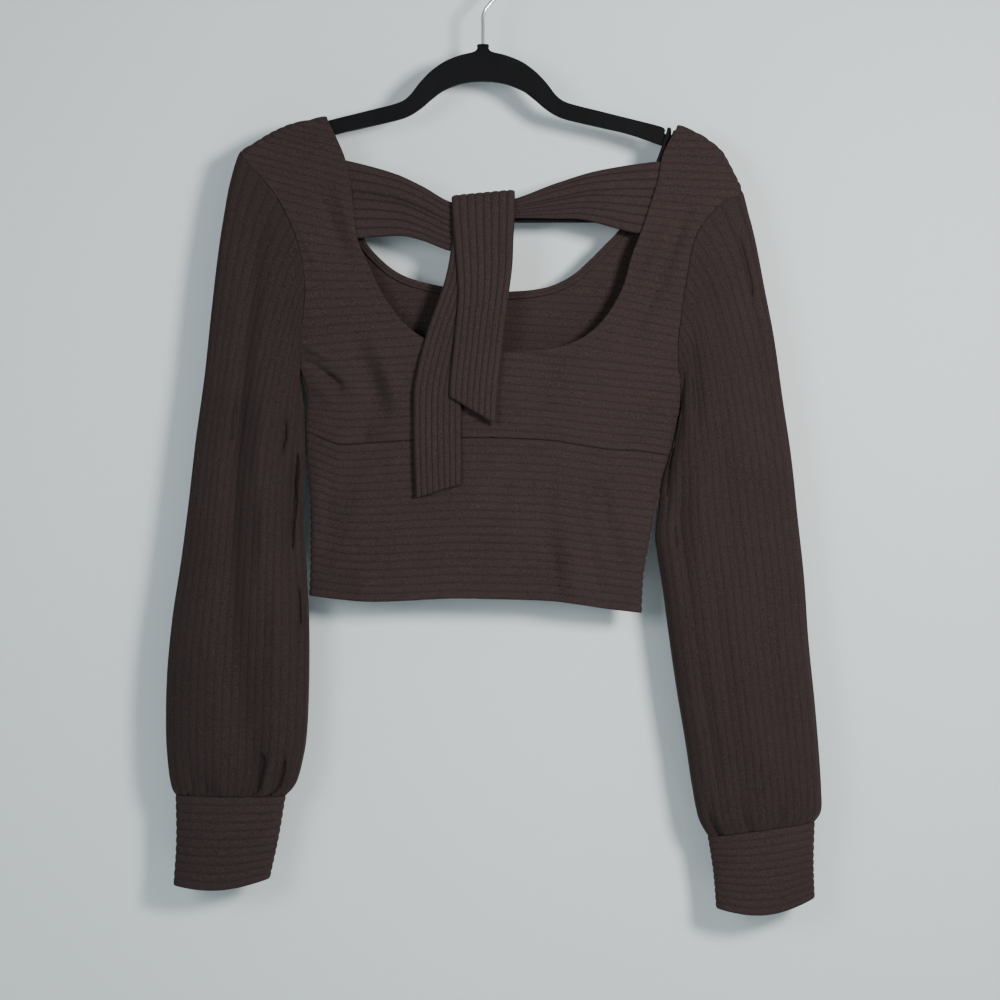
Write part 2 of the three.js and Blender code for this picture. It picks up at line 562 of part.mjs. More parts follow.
function cuffSurface(side) {
  return (turn, along) => {
    const point = cuffPoint(side, turn % 1, along);
    const wrap = (value) => (value + 1) % 1;
    const around = cuffPoint(side, wrap(turn + STEP), along).sub(cuffPoint(side, wrap(turn - STEP), along));
    const down = cuffPoint(side, turn % 1, Math.min(along + STEP, 1)).sub(
      cuffPoint(side, turn % 1, Math.max(along - STEP, 0)),
    );
    const normal = around.cross(down).setZ(0).normalize();
    const middle = cuffPoint(side, 0, along).add(cuffPoint(side, 0.5, along)).multiplyScalar(0.5);
    if (normal.dot(point.clone().sub(middle)) < 0) normal.negate();
    return { point, normal };
  };
}

function addSleeve(name, side, face) {
  const triangles = [];
  const rows = evenly(SLEEVE[side].length - 1);
  const outer = { us: evenly(SLEEVE_RIBS), vs: rows };
  const inner = { us: evenly(SLEEVE_RIBS / 4), vs: rows };
  const lift = (column) => CLOTH + (column % 2 ? RIDGE : 0);
  addWall(triangles, sleeveSurface(side, face), outer, inner, lift);
  meshOf(name, triangles, knit);
}

function addCuff(name, side) {
  const triangles = [];
  const outer = { us: evenly(CUFF_COLUMNS), vs: evenly(2 * CUFF_RIBS) };
  const inner = { us: evenly(CUFF_COLUMNS), vs: evenly(2) };
  const lift = (column, row) => CLOTH + (row % 2 ? RIDGE : 0);
  addWall(triangles, cuffSurface(side), outer, inner, lift, Infinity, true);
  meshOf(name, triangles, knit);
}

// A strip of the tie: u from one edge to the other, v along its rows
function stripSurface(pointAt, sign) {
  return (u, v) => {
    const point = pointAt(u, v);
    const across = pointAt(Math.min(u + STEP, 1), v).sub(pointAt(Math.max(u - STEP, 0), v));
    const along = pointAt(u, Math.min(v + STEP, 1)).sub(pointAt(u, Math.max(v - STEP, 0)));
    const normal = across.cross(along).multiplyScalar(sign).normalize();
    if (v === 0) normal.setX(0).normalize();
    return { point, normal };
  };
}

function addStrip(name, pointAt, sign, rows) {
  const triangles = [];
  const outer = { us: evenly(2 * TIE_RIBS), vs: evenly(rows) };
  const inner = { us: evenly(TIE_RIBS / 2), vs: evenly(rows) };
  const lift = (column) => TIE + (column % 2 ? RIDGE : 0);
  addWall(triangles, stripSurface(pointAt, sign), outer, inner, lift);
  meshOf(name, triangles, knit);
}

// A band runs from the neckline edge, with its sewn end along that edge, to the knot
function bandPoint(side) {
  const sewn = BAND_SEWN[side];
  return (u, v) => {
    const rows = BAND[side];
    const upX = station(rows, v, "upX");
    const upZ = station(rows, v, "upZ");
    const free = new THREE.Vector3(
      upX + (station(rows, v, "lowX") - upX) * u,
      station(rows, v, "y"),
      upZ + (station(rows, v, "lowZ") - upZ) * u,
    );
    const edgeZ = sewn.up + (sewn.low - sewn.up) * u;
    const edgeX = read(NECK[TIE_SIDE][side], "z", edgeZ, "x") - side * BAND_GAP;
    const depth = read(MIDDLE_DEPTH, "z", edgeZ, "depth") - BAND_INSIDE;
    const start = new THREE.Vector3(edgeX, -depth, edgeZ);
    const blend = Math.pow(Math.max(1 - v / BAND_START.share, 0), BAND_START.power);
    const point = free.lerp(start, blend);
    const roll = Math.exp(-Math.pow((u - BAND_ROLL.at) / BAND_ROLL.wide, 2));
    point.y -= BAND_ROLL.depth * Math.sin(Math.PI * v) * (1 - v) * roll;
    return point;
  };
}

function tailPoint(rows) {
  return (u, v) => {
    const leftX = station(rows, v, "leftX");
    const leftZ = station(rows, v, "leftZ");
    return new THREE.Vector3(
      leftX + (station(rows, v, "rightX") - leftX) * u,
      station(rows, v, "y"),
      leftZ + (station(rows, v, "rightZ") - leftZ) * u,
    );
  };
}

// Facing turned in along the plain side's neckline
const FACING = {
  wide: 7.5,
  thick: 0.9,
  ends: 0.06, // share of the neckline left bare at each end
  gap: 0.8, // from the body's middle surface
  rows: 26,
  slack: 12,
  spread: 1.6, // power that spaces its rows along the neckline
  nearby: 0.01,
};

// A point of the plain side's neckline: -1 at the left neck point, 0 at its bottom, 1 at the right
function necklinePoint(share) {
  const neck = NECK[PLAIN_SIDE];
  const half = share < 0 ? LEFT : RIGHT;
  const reach = 1 - Math.pow(Math.abs(share), FACING.spread);
  const z = NECK_POINT_Z[half] + (neck.bottom.z - NECK_POINT_Z[half]) * reach;
  return new THREE.Vector2(read(neck[half], "z", z, "x"), z);
}

// A point of the facing: u from the neckline outwards, v along it
function facingPoint(u, v) {
  const turn = (FACING.ends + (1 - 2 * FACING.ends) * v) * 2 - 1;
  const side = turn < 0 ? LEFT : RIGHT;
  const here = necklinePoint(turn);
  const before = necklinePoint(Math.max(turn - FACING.nearby, -1));
  const slope = necklinePoint(Math.min(turn + FACING.nearby, 1)).sub(before).normalize();
  const x = here.x + slope.y * FACING.wide * u;
  const z = here.y - slope.x * FACING.wide * u;
  const width = Math.abs(read(EDGE[side], "z", Math.min(z, TIP_Z[side]), "x") - here.x);
  const share = THREE.MathUtils.clamp(1 - (FACING.wide * u * Math.abs(slope.y)) / width, 0, 1);
  const edgeZ = Math.min(z - FACING.slack, TIP_Z[side]);
  const depth = bodyDepth(side, PLAIN_SIDE, share, edgeZ, x, z, WRAP);
  return new THREE.Vector3(x, depth - FACING.gap, z);
}

function addFacing(name) {
  const triangles = [];
  const surface = (u, v) => ({ point: facingPoint(u, v), normal: new THREE.Vector3(0, -FACING.thick, 0) });
  const shares = { us: evenly(1), vs: evenly(FACING.rows) };
  addWall(triangles, surface, shares, shares, () => 1);
  meshOf(name, triangles, knit);
}

// Hanger: arch, drooping arms and bottom bar in one flocked moulding
const HANGER = { thick: 6, bevel: 1.2, bossTop: -78, hookStart: -77.7 };
const HALF_OUTER = [
  { x: 5, z: -78 }, { x: 7, z: -85 }, { x: 22, z: -88.3 }, { x: 37, z: -94.5 }, { x: 50, z: -104 },
  { x: 60, z: -114.5 }, { x: 69, z: -126 }, { x: 80, z: -133 }, { x: 143, z: -149 },
  { x: 169, z: -156 }, { x: 171, z: -162 }, { x: 177, z: -163 },
  { x: 180, z: -158.5 }, { x: 191, z: -163 }, { x: 201, z: -168.5 }, { x: 207, z: -175 }, { x: 206, z: -183 },
  { x: 198, z: -200 }, { x: 190, z: -228 }, { x: 176, z: -242 }, { x: 155, z: -245 },
];
const HALF_INNER = [
  { x: 155, z: -237 }, { x: 172, z: -234 }, { x: 182, z: -222 }, { x: 189, z: -198 }, { x: 192, z: -186 },
  { x: 186, z: -180 }, { x: 141, z: -163.5 }, { x: 80, z: -149 }, { x: 68, z: -144.5 }, { x: 58, z: -138 },
  { x: 48, z: -129.5 }, { x: 38, z: -122 }, { x: 24, z: -116 }, { x: 0, z: -112.7 },
];
function addHanger(name) {
  const both = (half) => [...half, ...half.map(({ x, z }) => ({ x: -x, z })).reverse()];
  const inset = (points) => points.map(({ x, z }) => new THREE.Vector2(x, z));
  const outline = new THREE.Shape(inset(both(HALF_OUTER)));
  const hole = both(HALF_INNER.slice(0, -1)).toSpliced(HALF_INNER.length - 1, 0, HALF_INNER.at(-1));
  outline.holes.push(new THREE.Path(inset(hole)));
  const geometry = new THREE.ExtrudeGeometry(outline, {
    depth: HANGER.thick - 2 * HANGER.bevel,
    bevelThickness: HANGER.bevel,
    bevelSize: HANGER.bevel,
    bevelOffset: -HANGER.bevel,
    bevelSegments: 1,
    curveSegments: 1,
  });
  geometry.rotateX(Math.PI / 2).translate(0, HANGER.thick / 2 - HANGER.bevel, 0);
  const mesh = new THREE.Mesh(geometry, flock);
  mesh.name = name;
  top.add(mesh);
}

// Hook: a round wire up from the boss, round over the rod and down to its tip
const HOOK = { wire: 3.6, round: 20, sides: 8, steps: 30 };
function addHook(name) {
  const centre = -HOOK.round + HOOK.wire / 2;
  const points = [
    new THREE.Vector3(0, 0, HANGER.hookStart),
    new THREE.Vector3(0, 0, -62),
    new THREE.Vector3(0.6, 0, -49),
    new THREE.Vector3(6, 0, -40),
  ];
  for (let angle = -55; angle <= 190; angle += 24.5) {
    const turn = THREE.MathUtils.degToRad(angle);
    points.push(new THREE.Vector3(HOOK.round * Math.cos(turn), 0, centre + HOOK.round * Math.sin(turn)));
  }
  const section = new THREE.Shape();
  for (let i = 0; i < HOOK.sides; i++) {
    const turn = (i / HOOK.sides) * ALL_ROUND;
    const corner = [(HOOK.wire / 2) * Math.cos(turn), (HOOK.wire / 2) * Math.sin(turn)];
    if (i) section.lineTo(...corner);
    else section.moveTo(...corner);
  }
  const path = new THREE.CatmullRomCurve3(points, false, "centripetal");
  const geometry = new THREE.ExtrudeGeometry(section, { steps: HOOK.steps, extrudePath: path });
  const mesh = new THREE.Mesh(geometry, wire);
  mesh.name = name;
  top.add(mesh);
}

// Hanging loop of thin tape, sewn behind the right band and hooked over the hanger's notch
const LOOP = { wide: 3, thick: 0.8, steps: 22 };
function addLoop(name) {
  const points = [
    [159, -5.2, -201], [165, -4.6, -186], [171, -4.6, -169], [174, -3.9, -159.5], [175, 0, -155.6],
    [176, 3.9, -159.5], [174, 4.6, -170], [167, 3.5, -188], [161.5, -2.4, -202],
  ].map(([x, y, z]) => new THREE.Vector3(x, y, z));
  const section = new THREE.Shape([
    new THREE.Vector2(-LOOP.thick / 2, -LOOP.wide / 2),
    new THREE.Vector2(LOOP.thick / 2, -LOOP.wide / 2),
    new THREE.Vector2(LOOP.thick / 2, LOOP.wide / 2),
    new THREE.Vector2(-LOOP.thick / 2, LOOP.wide / 2),
  ]);
  const path = new THREE.CatmullRomCurve3(points, false, "centripetal");
  const geometry = new THREE.ExtrudeGeometry(section, { steps: LOOP.steps, extrudePath: path });
  const mesh = new THREE.Mesh(geometry, flock);
  mesh.name = name;
  top.add(mesh);
}

addBodice("bodice_tie_side", TIE_SIDE);
addBodice("bodice_plain_side", PLAIN_SIDE);
addWaist("waist_tie_side", TIE_SIDE);
addWaist("waist_plain_side", PLAIN_SIDE);
addFacing("neck_facing_plain_side");
addSleeve("sleeve_left_tie_side", LEFT, TIE_SIDE);
addSleeve("sleeve_left_plain_side", LEFT, PLAIN_SIDE);
addSleeve("sleeve_right_tie_side", RIGHT, TIE_SIDE);
addSleeve("sleeve_right_plain_side", RIGHT, PLAIN_SIDE);
addCuff("cuff_left", LEFT);
addCuff("cuff_right", RIGHT);
addStrip("tie_band_left", bandPoint(LEFT), 1, 10);
addStrip("tie_band_right", bandPoint(RIGHT), -1, 10);
addStrip("tie_tail_front", tailPoint(FRONT_TAIL), -1, 18);
addStrip("tie_tail_rear", tailPoint(REAR_TAIL), -1, 12);
addHanger("hanger_body");
addHook("hanger_hook");
addLoop("hanging_loop");

export default top;
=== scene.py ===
"""A long-sleeved crop top of wide ottoman rib on a flocked hanger, hanging flat against a pale wall.

Sizes in the tables are millimetres; to_mesh turns them into metres. +X is the viewer's right,
-Y is the side with the tie and +Z is up. The origin is the inside of the top of the hook.
"""

import math

import bmesh
import bpy
import numpy as np
from bpy.props import FloatProperty, FloatVectorProperty, PointerProperty
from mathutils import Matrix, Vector


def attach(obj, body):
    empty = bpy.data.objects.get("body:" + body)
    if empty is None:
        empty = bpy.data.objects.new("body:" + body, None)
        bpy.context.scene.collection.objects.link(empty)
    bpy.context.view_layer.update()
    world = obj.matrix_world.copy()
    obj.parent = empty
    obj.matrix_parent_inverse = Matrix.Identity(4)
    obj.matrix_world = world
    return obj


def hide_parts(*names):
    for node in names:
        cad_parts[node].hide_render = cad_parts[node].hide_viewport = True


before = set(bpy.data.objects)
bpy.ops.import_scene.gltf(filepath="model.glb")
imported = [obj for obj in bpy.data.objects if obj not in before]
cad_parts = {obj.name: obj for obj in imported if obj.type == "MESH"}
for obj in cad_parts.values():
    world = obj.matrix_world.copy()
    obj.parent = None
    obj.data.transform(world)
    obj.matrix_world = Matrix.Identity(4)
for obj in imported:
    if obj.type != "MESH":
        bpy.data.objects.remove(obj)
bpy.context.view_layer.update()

bl_info = {
    "name": "Crop top on a hanger",
    "version": (1, 0, 0),
    "blender": (4, 5, 0),
    "location": "View3D > Sidebar > Crop top",
    "description": "Builds a rib-knit crop top with a tied band, its hanger and a plain stage",
    "category": "Add Mesh",
}

MM = 0.001
LEFT = -1
RIGHT = 1
TIE_SIDE = -1
PLAIN_SIDE = 1

# How fine the cloth is
PER_RIB = 7  # points across one rib
HALF_COLUMNS = 52  # points from an outer edge of the body to its middle
SLEEVE_ROWS = 112
SLEEVE_RIBS = 38
CUFF_RIBS = 11
CUFF_COLUMNS = 96
BODICE_RIBS = 41
WAIST_RIBS = 20
TIE_RIBS = 8
BAND_ROWS = 44
TAIL_ROWS = 90

# Sizes of the cloth that only the shapes below need
SEAM = 0.3
HALF_GAP = SEAM / 2
WRAP = 4.5
STEP = 1e-3
GROOVE = 0.17  # half a groove's width, as a share of a rib
GROOVE_SHARPNESS = 2.4
OVAL = 0.85
TUBE_DEPTH = 0.33  # half depth of a flat-hanging tube against its half width
TUBE_STEPS = 721
BODY_OVAL = {"share": 2.2, "depth": 0.6}
SEAM_REACH = 0.15
RING = {"follows": 0.45, "shapes": 0.35}
ARMHOLE_GAP = 0.25  # the sleeve is sewn in here, while the solids stay apart
BAND_UNDER = 6  # how far a band reaches under the strap that it is sewn to
BAND_START = {"share": 0.3, "power": 1.5}
BAND_ROLL = {"depth": 2.6, "at": 0.28, "wide": 0.14}
BAND_FOLD = {"at": 0.42, "wide": 0.055, LEFT: 2.2, RIGHT: 0.9}
BAND_INSIDE = 3.6
CREASE = {"body": 2.6, "sleeve": 2.9}  # how strongly the small creases show
CREASE_FADE = {"edge": 0.12, "ribs": 2}  # where the body's creases begin
HELD = {"armhole": 0.12, "body": 0.04, "sleeve": 0.02}  # where cloth stands square to the armhole
EDGE_BIAS = 1.25  # columns of a body panel lie closer at its outer edge
TIE_EDGE = 10  # how square the folded edges of the tie are
TIE_GROOVE = 0.3


def table(columns, rows):
    """Rows of numbers as one array for each named column."""
    values = np.array(rows, dtype=float)
    return {name: values[:, i] for i, name in enumerate(columns.split())}


# Outer edge of the body from the neck point along the shoulder, down the armhole and side seam
OUTER = {
    LEFT: table("z x", [
        (-147, -147), (-151, -164), (-154, -178), (-159, -191), (-164, -201), (-172, -214),
        (-180, -227), (-203, -208), (-229, -189), (-268, -172), (-303, -166), (-341, -169),
        (-375, -175), (-390, -168), (-407, -164), (-442, -165), (-487, -162), (-514, -160),
        (-561, -160), (-596, -161),
    ]),
    RIGHT: table("z x", [
        (-155, 183), (-158, 190), (-164, 203), (-172, 215), (-180, 224), (-190, 230),
        (-202, 236), (-216, 242), (-226, 225), (-244, 207), (-264, 197), (-292, 191),
        (-331, 185), (-365, 182), (-408, 185), (-421, 184), (-435, 180), (-464, 173),
        (-485, 167), (-510, 162), (-534, 157), (-576, 149), (-612, 147),
    ]),
}
TIP_Z = {LEFT: -180, RIGHT: -216}
UNDERARM_Z = {LEFT: -375, RIGHT: -408}
SIDE_SEAM_Z = {LEFT: -442, RIGHT: -464}
HEM_Z = {LEFT: -596, RIGHT: -612}

# Necklines from the neck points down to their lowest point
NECK = {
    TIE_SIDE: {
        LEFT: table("z x", [
            (-147, -147), (-165, -138), (-186, -129), (-209, -124), (-235, -121), (-262, -117),
            (-286, -107), (-308, -97), (-331, -82), (-350, -63), (-362, -38), (-366.5, -10),
            (-368, 25),
        ]),
        RIGHT: table("z x", [
            (-155, 183), (-167, 176), (-184, 168), (-205, 164), (-228, 157), (-252, 149),
            (-278, 139), (-306, 131), (-333, 116), (-352, 97), (-362, 76), (-366.5, 55), (-368, 25),
        ]),
    },
    PLAIN_SIDE: {
        LEFT: table("z x", [
            (-147, -147), (-165, -141), (-188, -133), (-214, -127), (-238, -120), (-263, -110),
            (-278, -97), (-290, -82), (-298, -64), (-304, -38), (-308, -5), (-309, 21),
        ]),
        RIGHT: table("z x", [
            (-155, 183), (-177, 174), (-200, 162), (-222, 149), (-241, 136), (-256, 124),
            (-266, 114), (-278, 102), (-293, 85), (-303, 66), (-307.5, 45), (-309, 21),
        ]),
    },
}
NECK_POINT_Z = {LEFT: -147, RIGHT: -155}
NECK_BOTTOM = {TIE_SIDE: {"x": 25, "z": -368}, PLAIN_SIDE: {"x": 21, "z": -309}}

# Where one rib meets the outer edge and the neckline or centre line
RIB_LINES = {
    TIE_SIDE: {
        LEFT: table("inner outer", [
            (-147, -147), (-206, -180), (-275, -268), (-368, -377), (-448, -442),
        ]),
        RIGHT: table("inner outer", [
            (-155, -155), (-212, -216), (-290, -300), (-368, -384), (-448, -464),
        ]),
    },
    PLAIN_SIDE: {
        LEFT: table("inner outer", [(-147, -147), (-200, -180), (-309, -309), (-448, -442)]),
        RIGHT: table("inner outer", [(-155, -155), (-212, -216), (-309, -318), (-448, -464)]),
    },
}
UNDER_BUST = table("x z", [
    (-165, -442), (-155, -446), (-146, -450), (-133, -454), (-110, -453), (-65, -450), (-18, -448),
    (9, -448), (37, -449), (68, -451), (92, -455), (121, -459), (145, -460), (173, -464),
])
HEM = table("x z", [
    (-161, -596), (-134, -599), (-107, -601), (-70, -600), (-35, -598), (-8, -598), (58, -600),
    (85, -603), (110, -607), (147, -612),
])
WAIST_CENTRE = {"top": 9, "hem": -8}
SHOULDER = {
    LEFT: table("x z", [
        (-227, -180), (-214, -172), (-201, -164), (-191, -159), (-178, -154), (-164, -151), (-147, -147),
    ]),
    RIGHT: table("x z", [
        (183, -155), (190, -158), (203, -164), (215, -172), (224, -180), (230, -190), (236, -202),
        (242, -216),
    ]),
}
EDGE_DEPTH = table("share depth", [
    (0, 0), (0.08, 4), (0.2, 7.5), (0.45, 10), (0.75, 9), (0.9, 6), (1, 4.4),
])
MIDDLE_DEPTH = table("z depth", [
    (-147, 4.4), (-170, 5), (-215, 7), (-270, 9), (-368, 12.5), (-450, 15), (-530, 14), (-612, 13),
])

# Troughs (and, below zero, ridges) of the body, each along a leaning line
BODY_FOLDS = {
    TIE_SIDE: table("x z long lean wide depth", [
        (-128, -268, 34, -0.35, 13, 2.2), (-146, -392, 24, -1.1, 12, 2.6),
        (168, -300, 40, 0.3, 13, 2.2), (-92, -425, 60, -0.3, 24, 1.6), (96, -520, 60, 0.15, 22, 1.2),
    ]),
    PLAIN_SIDE: table("x z long lean wide depth", [
        (-132, -390, 50, -0.6, 18, 2.2), (140, -410, 60, 0.5, 18, 2.2), (20, -500, 70, 0.1, 26, 1.4),
    ]),
}
BODY_CREASES = {
    TIE_SIDE: table("x z long lean wide depth", [
        (-196, -232, 40, -0.5, 9, 1.1), (-176, -250, 34, -0.62, 7, -0.9), (-141, -250, 30, -0.4, 6, 1.3),
        (-128, -240, 34, -0.3, 5, -0.8), (-163, -377, 6, -1.9, 6, 1.5), (-151, -386, 6, -1.5, 5, 1.9),
        (-141, -393, 7, -1.0, 5, 2.0), (-136, -401, 8, -0.2, 4, 1.2), (-157, -366, 10, -1.8, 7, -1.3),
        (-152, -404, 10, -1.2, 7, -1.2), (-103, -400, 34, -0.35, 11, 2.6), (-110, -440, 26, 0.1, 9, 1.6),
        (-88, -392, 36, -0.4, 9, -1.3), (-84, -455, 40, -0.1, 9, -1.2), (181, -262, 30, 0.35, 6, 1.2),
        (159, -286, 34, 0.42, 6, -0.9), (150, -332, 30, 0.5, 7, 1.0), (150, -420, 30, 0.9, 10, 1.2),
        (60, -410, 50, 0.1, 18, 0.7), (-130, -500, 50, 0.2, 12, 1.0), (-60, -560, 40, -0.1, 15, 0.8),
        (20, -540, 60, 0.15, 17, -0.8), (120, -540, 50, -0.3, 9, 1.5), (66, -568, 44, -0.12, 6, 1.8),
        (82, -560, 44, -0.14, 7, -1.2), (100, -548, 44, -0.2, 6, 0.9), (-148, -520, 40, 0.1, 8, 1.2),
        (-110, -585, 22, 0.1, 10, -0.8), (25, -480, 40, 0.4, 14, 0.7),
    ]),
    PLAIN_SIDE: table("x z long lean wide depth", [
        (-160, -250, 36, -0.4, 8, 1.2), (-138, -300, 40, -0.4, 8, -0.9), (172, -290, 36, 0.4, 8, 1.2),
        (120, -360, 40, 0.5, 12, 1.2), (-60, -380, 60, 0.1, 18, 1.0), (60, -420, 60, -0.2, 18, -0.9),
        (-110, -470, 50, 0.3, 12, 1.2), (110, -500, 50, -0.2, 13, 1.1), (-20, -560, 40, 0.1, 14, 0.9),
        (-100, -560, 30, 0.1, 10, -0.8), (70, -570, 30, -0.1, 10, 0.9),
    ]),
}

# Sleeve outline as it hangs: outer edge, inner edge and half depth at each station
SLEEVE = {
    LEFT: table("outX outZ inX inZ half", [
        (-227, -180, -175, -375, 9), (-237, -205, -171, -399, 11), (-244, -241, -167.5, -422, 13),
        (-250, -282, -166.5, -446, 15), (-256, -335, -166.5, -470, 17), (-262, -391, -168.5, -496, 18),
        (-270, -449, -168, -522, 19), (-277, -510, -167, -548, 20), (-284, -564, -165, -579, 21),
        (-292, -617, -163, -623, 22), (-297, -670, -163, -675, 23), (-298, -722, -165, -724, 22),
        (-296, -755, -169, -750, 20), (-293, -774, -175, -771, 17), (-289, -782, -185, -783, 12),
    ]),
    RIGHT: table("outX outZ inX inZ half", [
        (242, -216, 185, -408, 9), (250, -238, 186, -424, 11), (257, -266, 180, -446, 13),
        (265, -308, 174, -467, 15), (274, -355, 167.5, -490, 17), (282, -412, 165, -514, 18),
        (290, -466, 161.6, -538, 19), (296, -523, 164, -560, 20), (302, -579, 169, -593, 21),
        (306, -637, 175, -638, 22), (312, -697, 182, -686, 23), (316, -745, 190, -734, 22),
        (318, -778, 196, -774, 20), (318, -797, 202, -804, 17), (312, -807, 211, -821, 12),
    ]),
}
SLEEVE_FOLDS = table("turn at long wide depth", [
    (0.13, 0.28, 0.2, 0.045, 2.4), (0.3, 0.82, 0.12, 0.05, 2.8), (0.2, 0.6, 0.22, 0.05, 1.8),
    (0.7, 0.75, 0.2, 0.05, 2.6), (0.82, 0.4, 0.2, 0.05, 2),
])
SLEEVE_CREASES = {
    LEFT: table("turn at long wide depth", [
        (0.16, 0.12, 0.09, 0.024, 1.6), (0.185, 0.23, 0.09, 0.024, 2.0), (0.205, 0.36, 0.09, 0.026, 2.4),
        (0.22, 0.5, 0.1, 0.026, 2.0), (0.235, 0.63, 0.08, 0.03, 2.0), (0.262, 0.74, 0.08, 0.032, 2.3),
        (0.3, 0.86, 0.07, 0.03, 2.4), (0.28, 0.36, 0.08, 0.022, -1.8), (0.31, 0.5, 0.09, 0.024, -2.0),
        (0.35, 0.64, 0.1, 0.024, -1.6), (0.41, 0.36, 0.07, 0.026, 3.2), (0.39, 0.48, 0.07, 0.024, 2.0),
        (0.42, 0.62, 0.09, 0.022, 1.4), (0.34, 0.3, 0.06, 0.018, 1.4), (0.4, 0.12, 0.1, 0.022, 1.3),
        (0.34, 0.92, 0.05, 0.016, -1.4), (0.22, 0.93, 0.05, 0.016, -1.2), (0.38, 0.9, 0.08, 0.018, 1.5),
        (0.14, 0.93, 0.07, 0.02, 1.0), (0.18, 0.94, 0.05, 0.014, 1.2), (0.65, 0.3, 0.2, 0.03, 1.6),
        (0.85, 0.6, 0.2, 0.03, 1.4), (0.75, 0.9, 0.1, 0.02, 1.6), (0.6, 0.88, 0.08, 0.018, 1.2),
        (0.9, 0.15, 0.12, 0.024, 1.3),
    ]),
    RIGHT: table("turn at long wide depth", [
        (0.09, 0.14, 0.12, 0.022, 1.2), (0.2, 0.1, 0.1, 0.022, 1.6), (0.3, 0.2, 0.14, 0.024, 1.8),
        (0.38, 0.12, 0.1, 0.02, 1.6), (0.42, 0.26, 0.12, 0.022, 1.6), (0.25, 0.42, 0.16, 0.03, 1.4),
        (0.37, 0.46, 0.12, 0.024, 1.5), (0.31, 0.4, 0.12, 0.022, -1.0), (0.3, 0.62, 0.14, 0.03, 1.3),
        (0.36, 0.76, 0.12, 0.026, 1.5), (0.18, 0.72, 0.14, 0.028, 1.0), (0.3, 0.94, 0.06, 0.018, 1.3),
        (0.2, 0.95, 0.05, 0.016, 1.1), (0.4, 0.94, 0.06, 0.016, 1.0), (0.66, 0.4, 0.2, 0.03, 1.6),
        (0.84, 0.7, 0.2, 0.03, 1.4), (0.7, 0.92, 0.08, 0.02, 1.5), (0.92, 0.2, 0.12, 0.024, 1.3),
    ]),
}
# The knit in the panels, in the sleeves and in the tie: how dark, with the sleeves' knit darker as
# painted shade, and how much painted shade darkens its grooves
KNITS = {
    "Rib knit": {"tone_and_shade": 0.69, "groove": 0.3},
    # The sleeves' knit is a darker copy of the same yarn, as painted shade
    "Rib knit lengthwise": {"tone_and_shade": 0.57, "groove": 0.26},
    "Rib knit of the tie": {"tone_and_shade": 0.68, "groove": 0.55},
}
GATHERS = {"waves": 19, "reach": 0.09, "depth": 1.1, "drift": 0.3, "drifts": 9}
CUFF = {
    LEFT: table("outX outZ inX inZ half dip", [
        (-289, -782, -185, -783, 12, 0), (-288.5, -825, -192, -824, 11, 2),
        (-291, -867, -200, -861, 10.5, 6),
    ]),
    RIGHT: table("outX outZ inX inZ half dip", [
        (312, -807, 211, -821, 12, 0), (311, -846, 216, -854, 11, 4),
        (312, -879, 219, -889, 10.5, 9),
    ]),
}

# Tie: each row has the two edges of the strip and how far in front of the body it lies
BAND = {
    LEFT: table("upX upZ lowX lowZ y", [
        (-116, -190, -99, -260, -7.5), (-84, -200, -77, -259, -8), (-56, -213, -56, -264, -8.8),
        (-29, -228, -29, -274, -9.8), (-0.3, -230, -0.3, -276, -10),
    ]),
    RIGHT: table("upX upZ lowX lowZ y", [
        (149, -189, 124, -256, -8), (107, -198, 97, -245, -8.6), (66, -211, 66, -243.5, -9.2),
        (30, -224.5, 30, -243, -9.8), (0.3, -229, 0.3, -243, -10),
    ]),
}
BAND_SEWN = {LEFT: {"up": -186, "low": -262}, RIGHT: {"up": -188, "low": -258}}
FRONT_TAIL = table("upX upZ lowX lowZ y", [
    (-28, -237, 29, -233, -9), (-28.5, -229.5, 29.5, -225, -8.9), (-29, -225, 30, -219.5, -11.8),
    (-29, -229, 30, -223.5, -14.9), (-28, -246, 29.5, -244, -16.8), (-26, -268, 28.5, -266, -17.8),
    (-24, -292, 27.5, -289, -18), (-23, -316, 24.5, -313, -18.3), (-25, -342, 20.5, -342, -19.6),
    (-27.5, -368, 17, -372, -21.6), (-30, -393, 13.5, -404, -23), (-31, -410, 12, -436, -23.8),
])
REAR_TAIL = table("upX upZ lowX lowZ y", [
    (-27, -256, 16, -256, -13.9), (-35, -300, 8, -302, -14.2), (-52, -350, -7, -352, -15.8),
    (-63, -398, -17, -392, -18.6), (-64, -431, -20, -424, -19.6), (-63.5, -468, -20, -458, -20),
    (-62, -504, -20, -491, -20.2),
])
FACING = {"wide": 7.5, "thick": 0.9, "ends": 0.06, "gap": 0.8, "rows": 90, "slack": 12, "spread": 1.6,
          "nearby": 0.01}

# Hanger, right half of its outer outline and of the opening in it
HANGER = {"thick": 6, "bevel": 1.6, "smooth": 5}
TANGENT = 0.45  # how strongly an outline bends at its points
HANGER_OUTER = table("x z", [
    (5, -78), (5.5, -82), (9, -85), (22, -88.3), (37, -94.5), (50, -104), (60, -114.5), (69, -126),
    (80, -133), (111, -141), (143, -149), (169, -156),
    (171, -162), (177, -163), (180, -158.5), (191, -163), (201, -168.5), (207, -175), (206, -183),
    (198, -200), (190, -228), (176, -242), (155, -245),
])
HANGER_INNER = table("x z", [
    (155, -237), (172, -234), (182, -222), (189, -198), (192, -186), (186, -180), (141, -163.5),
    (110, -156), (80, -149), (68, -144.5), (58, -138), (48, -129.5), (38, -122), (24, -116),
    (12, -113.4), (0, -112.7),
])
HOOK = {"wire": 3.6, "round": 20, "first": -55, "last": 190, "step": 24.5}
HOOK_STEM = table("x z", [(0, -77.7), (0, -62), (0.6, -49), (6, -40)])

# Stage and camera
CENTRE = Vector((0.016, 0.0, -0.506))  # the point at the middle of the photo
VIEW_WIDTH = 0.94
DISTANCE = 1.6
WALL_Y = 0.047
FLOOR_Z = -1.06
STAGE_SIZE = 6
SENSOR = 36  # width of the camera's sensor in millimetres


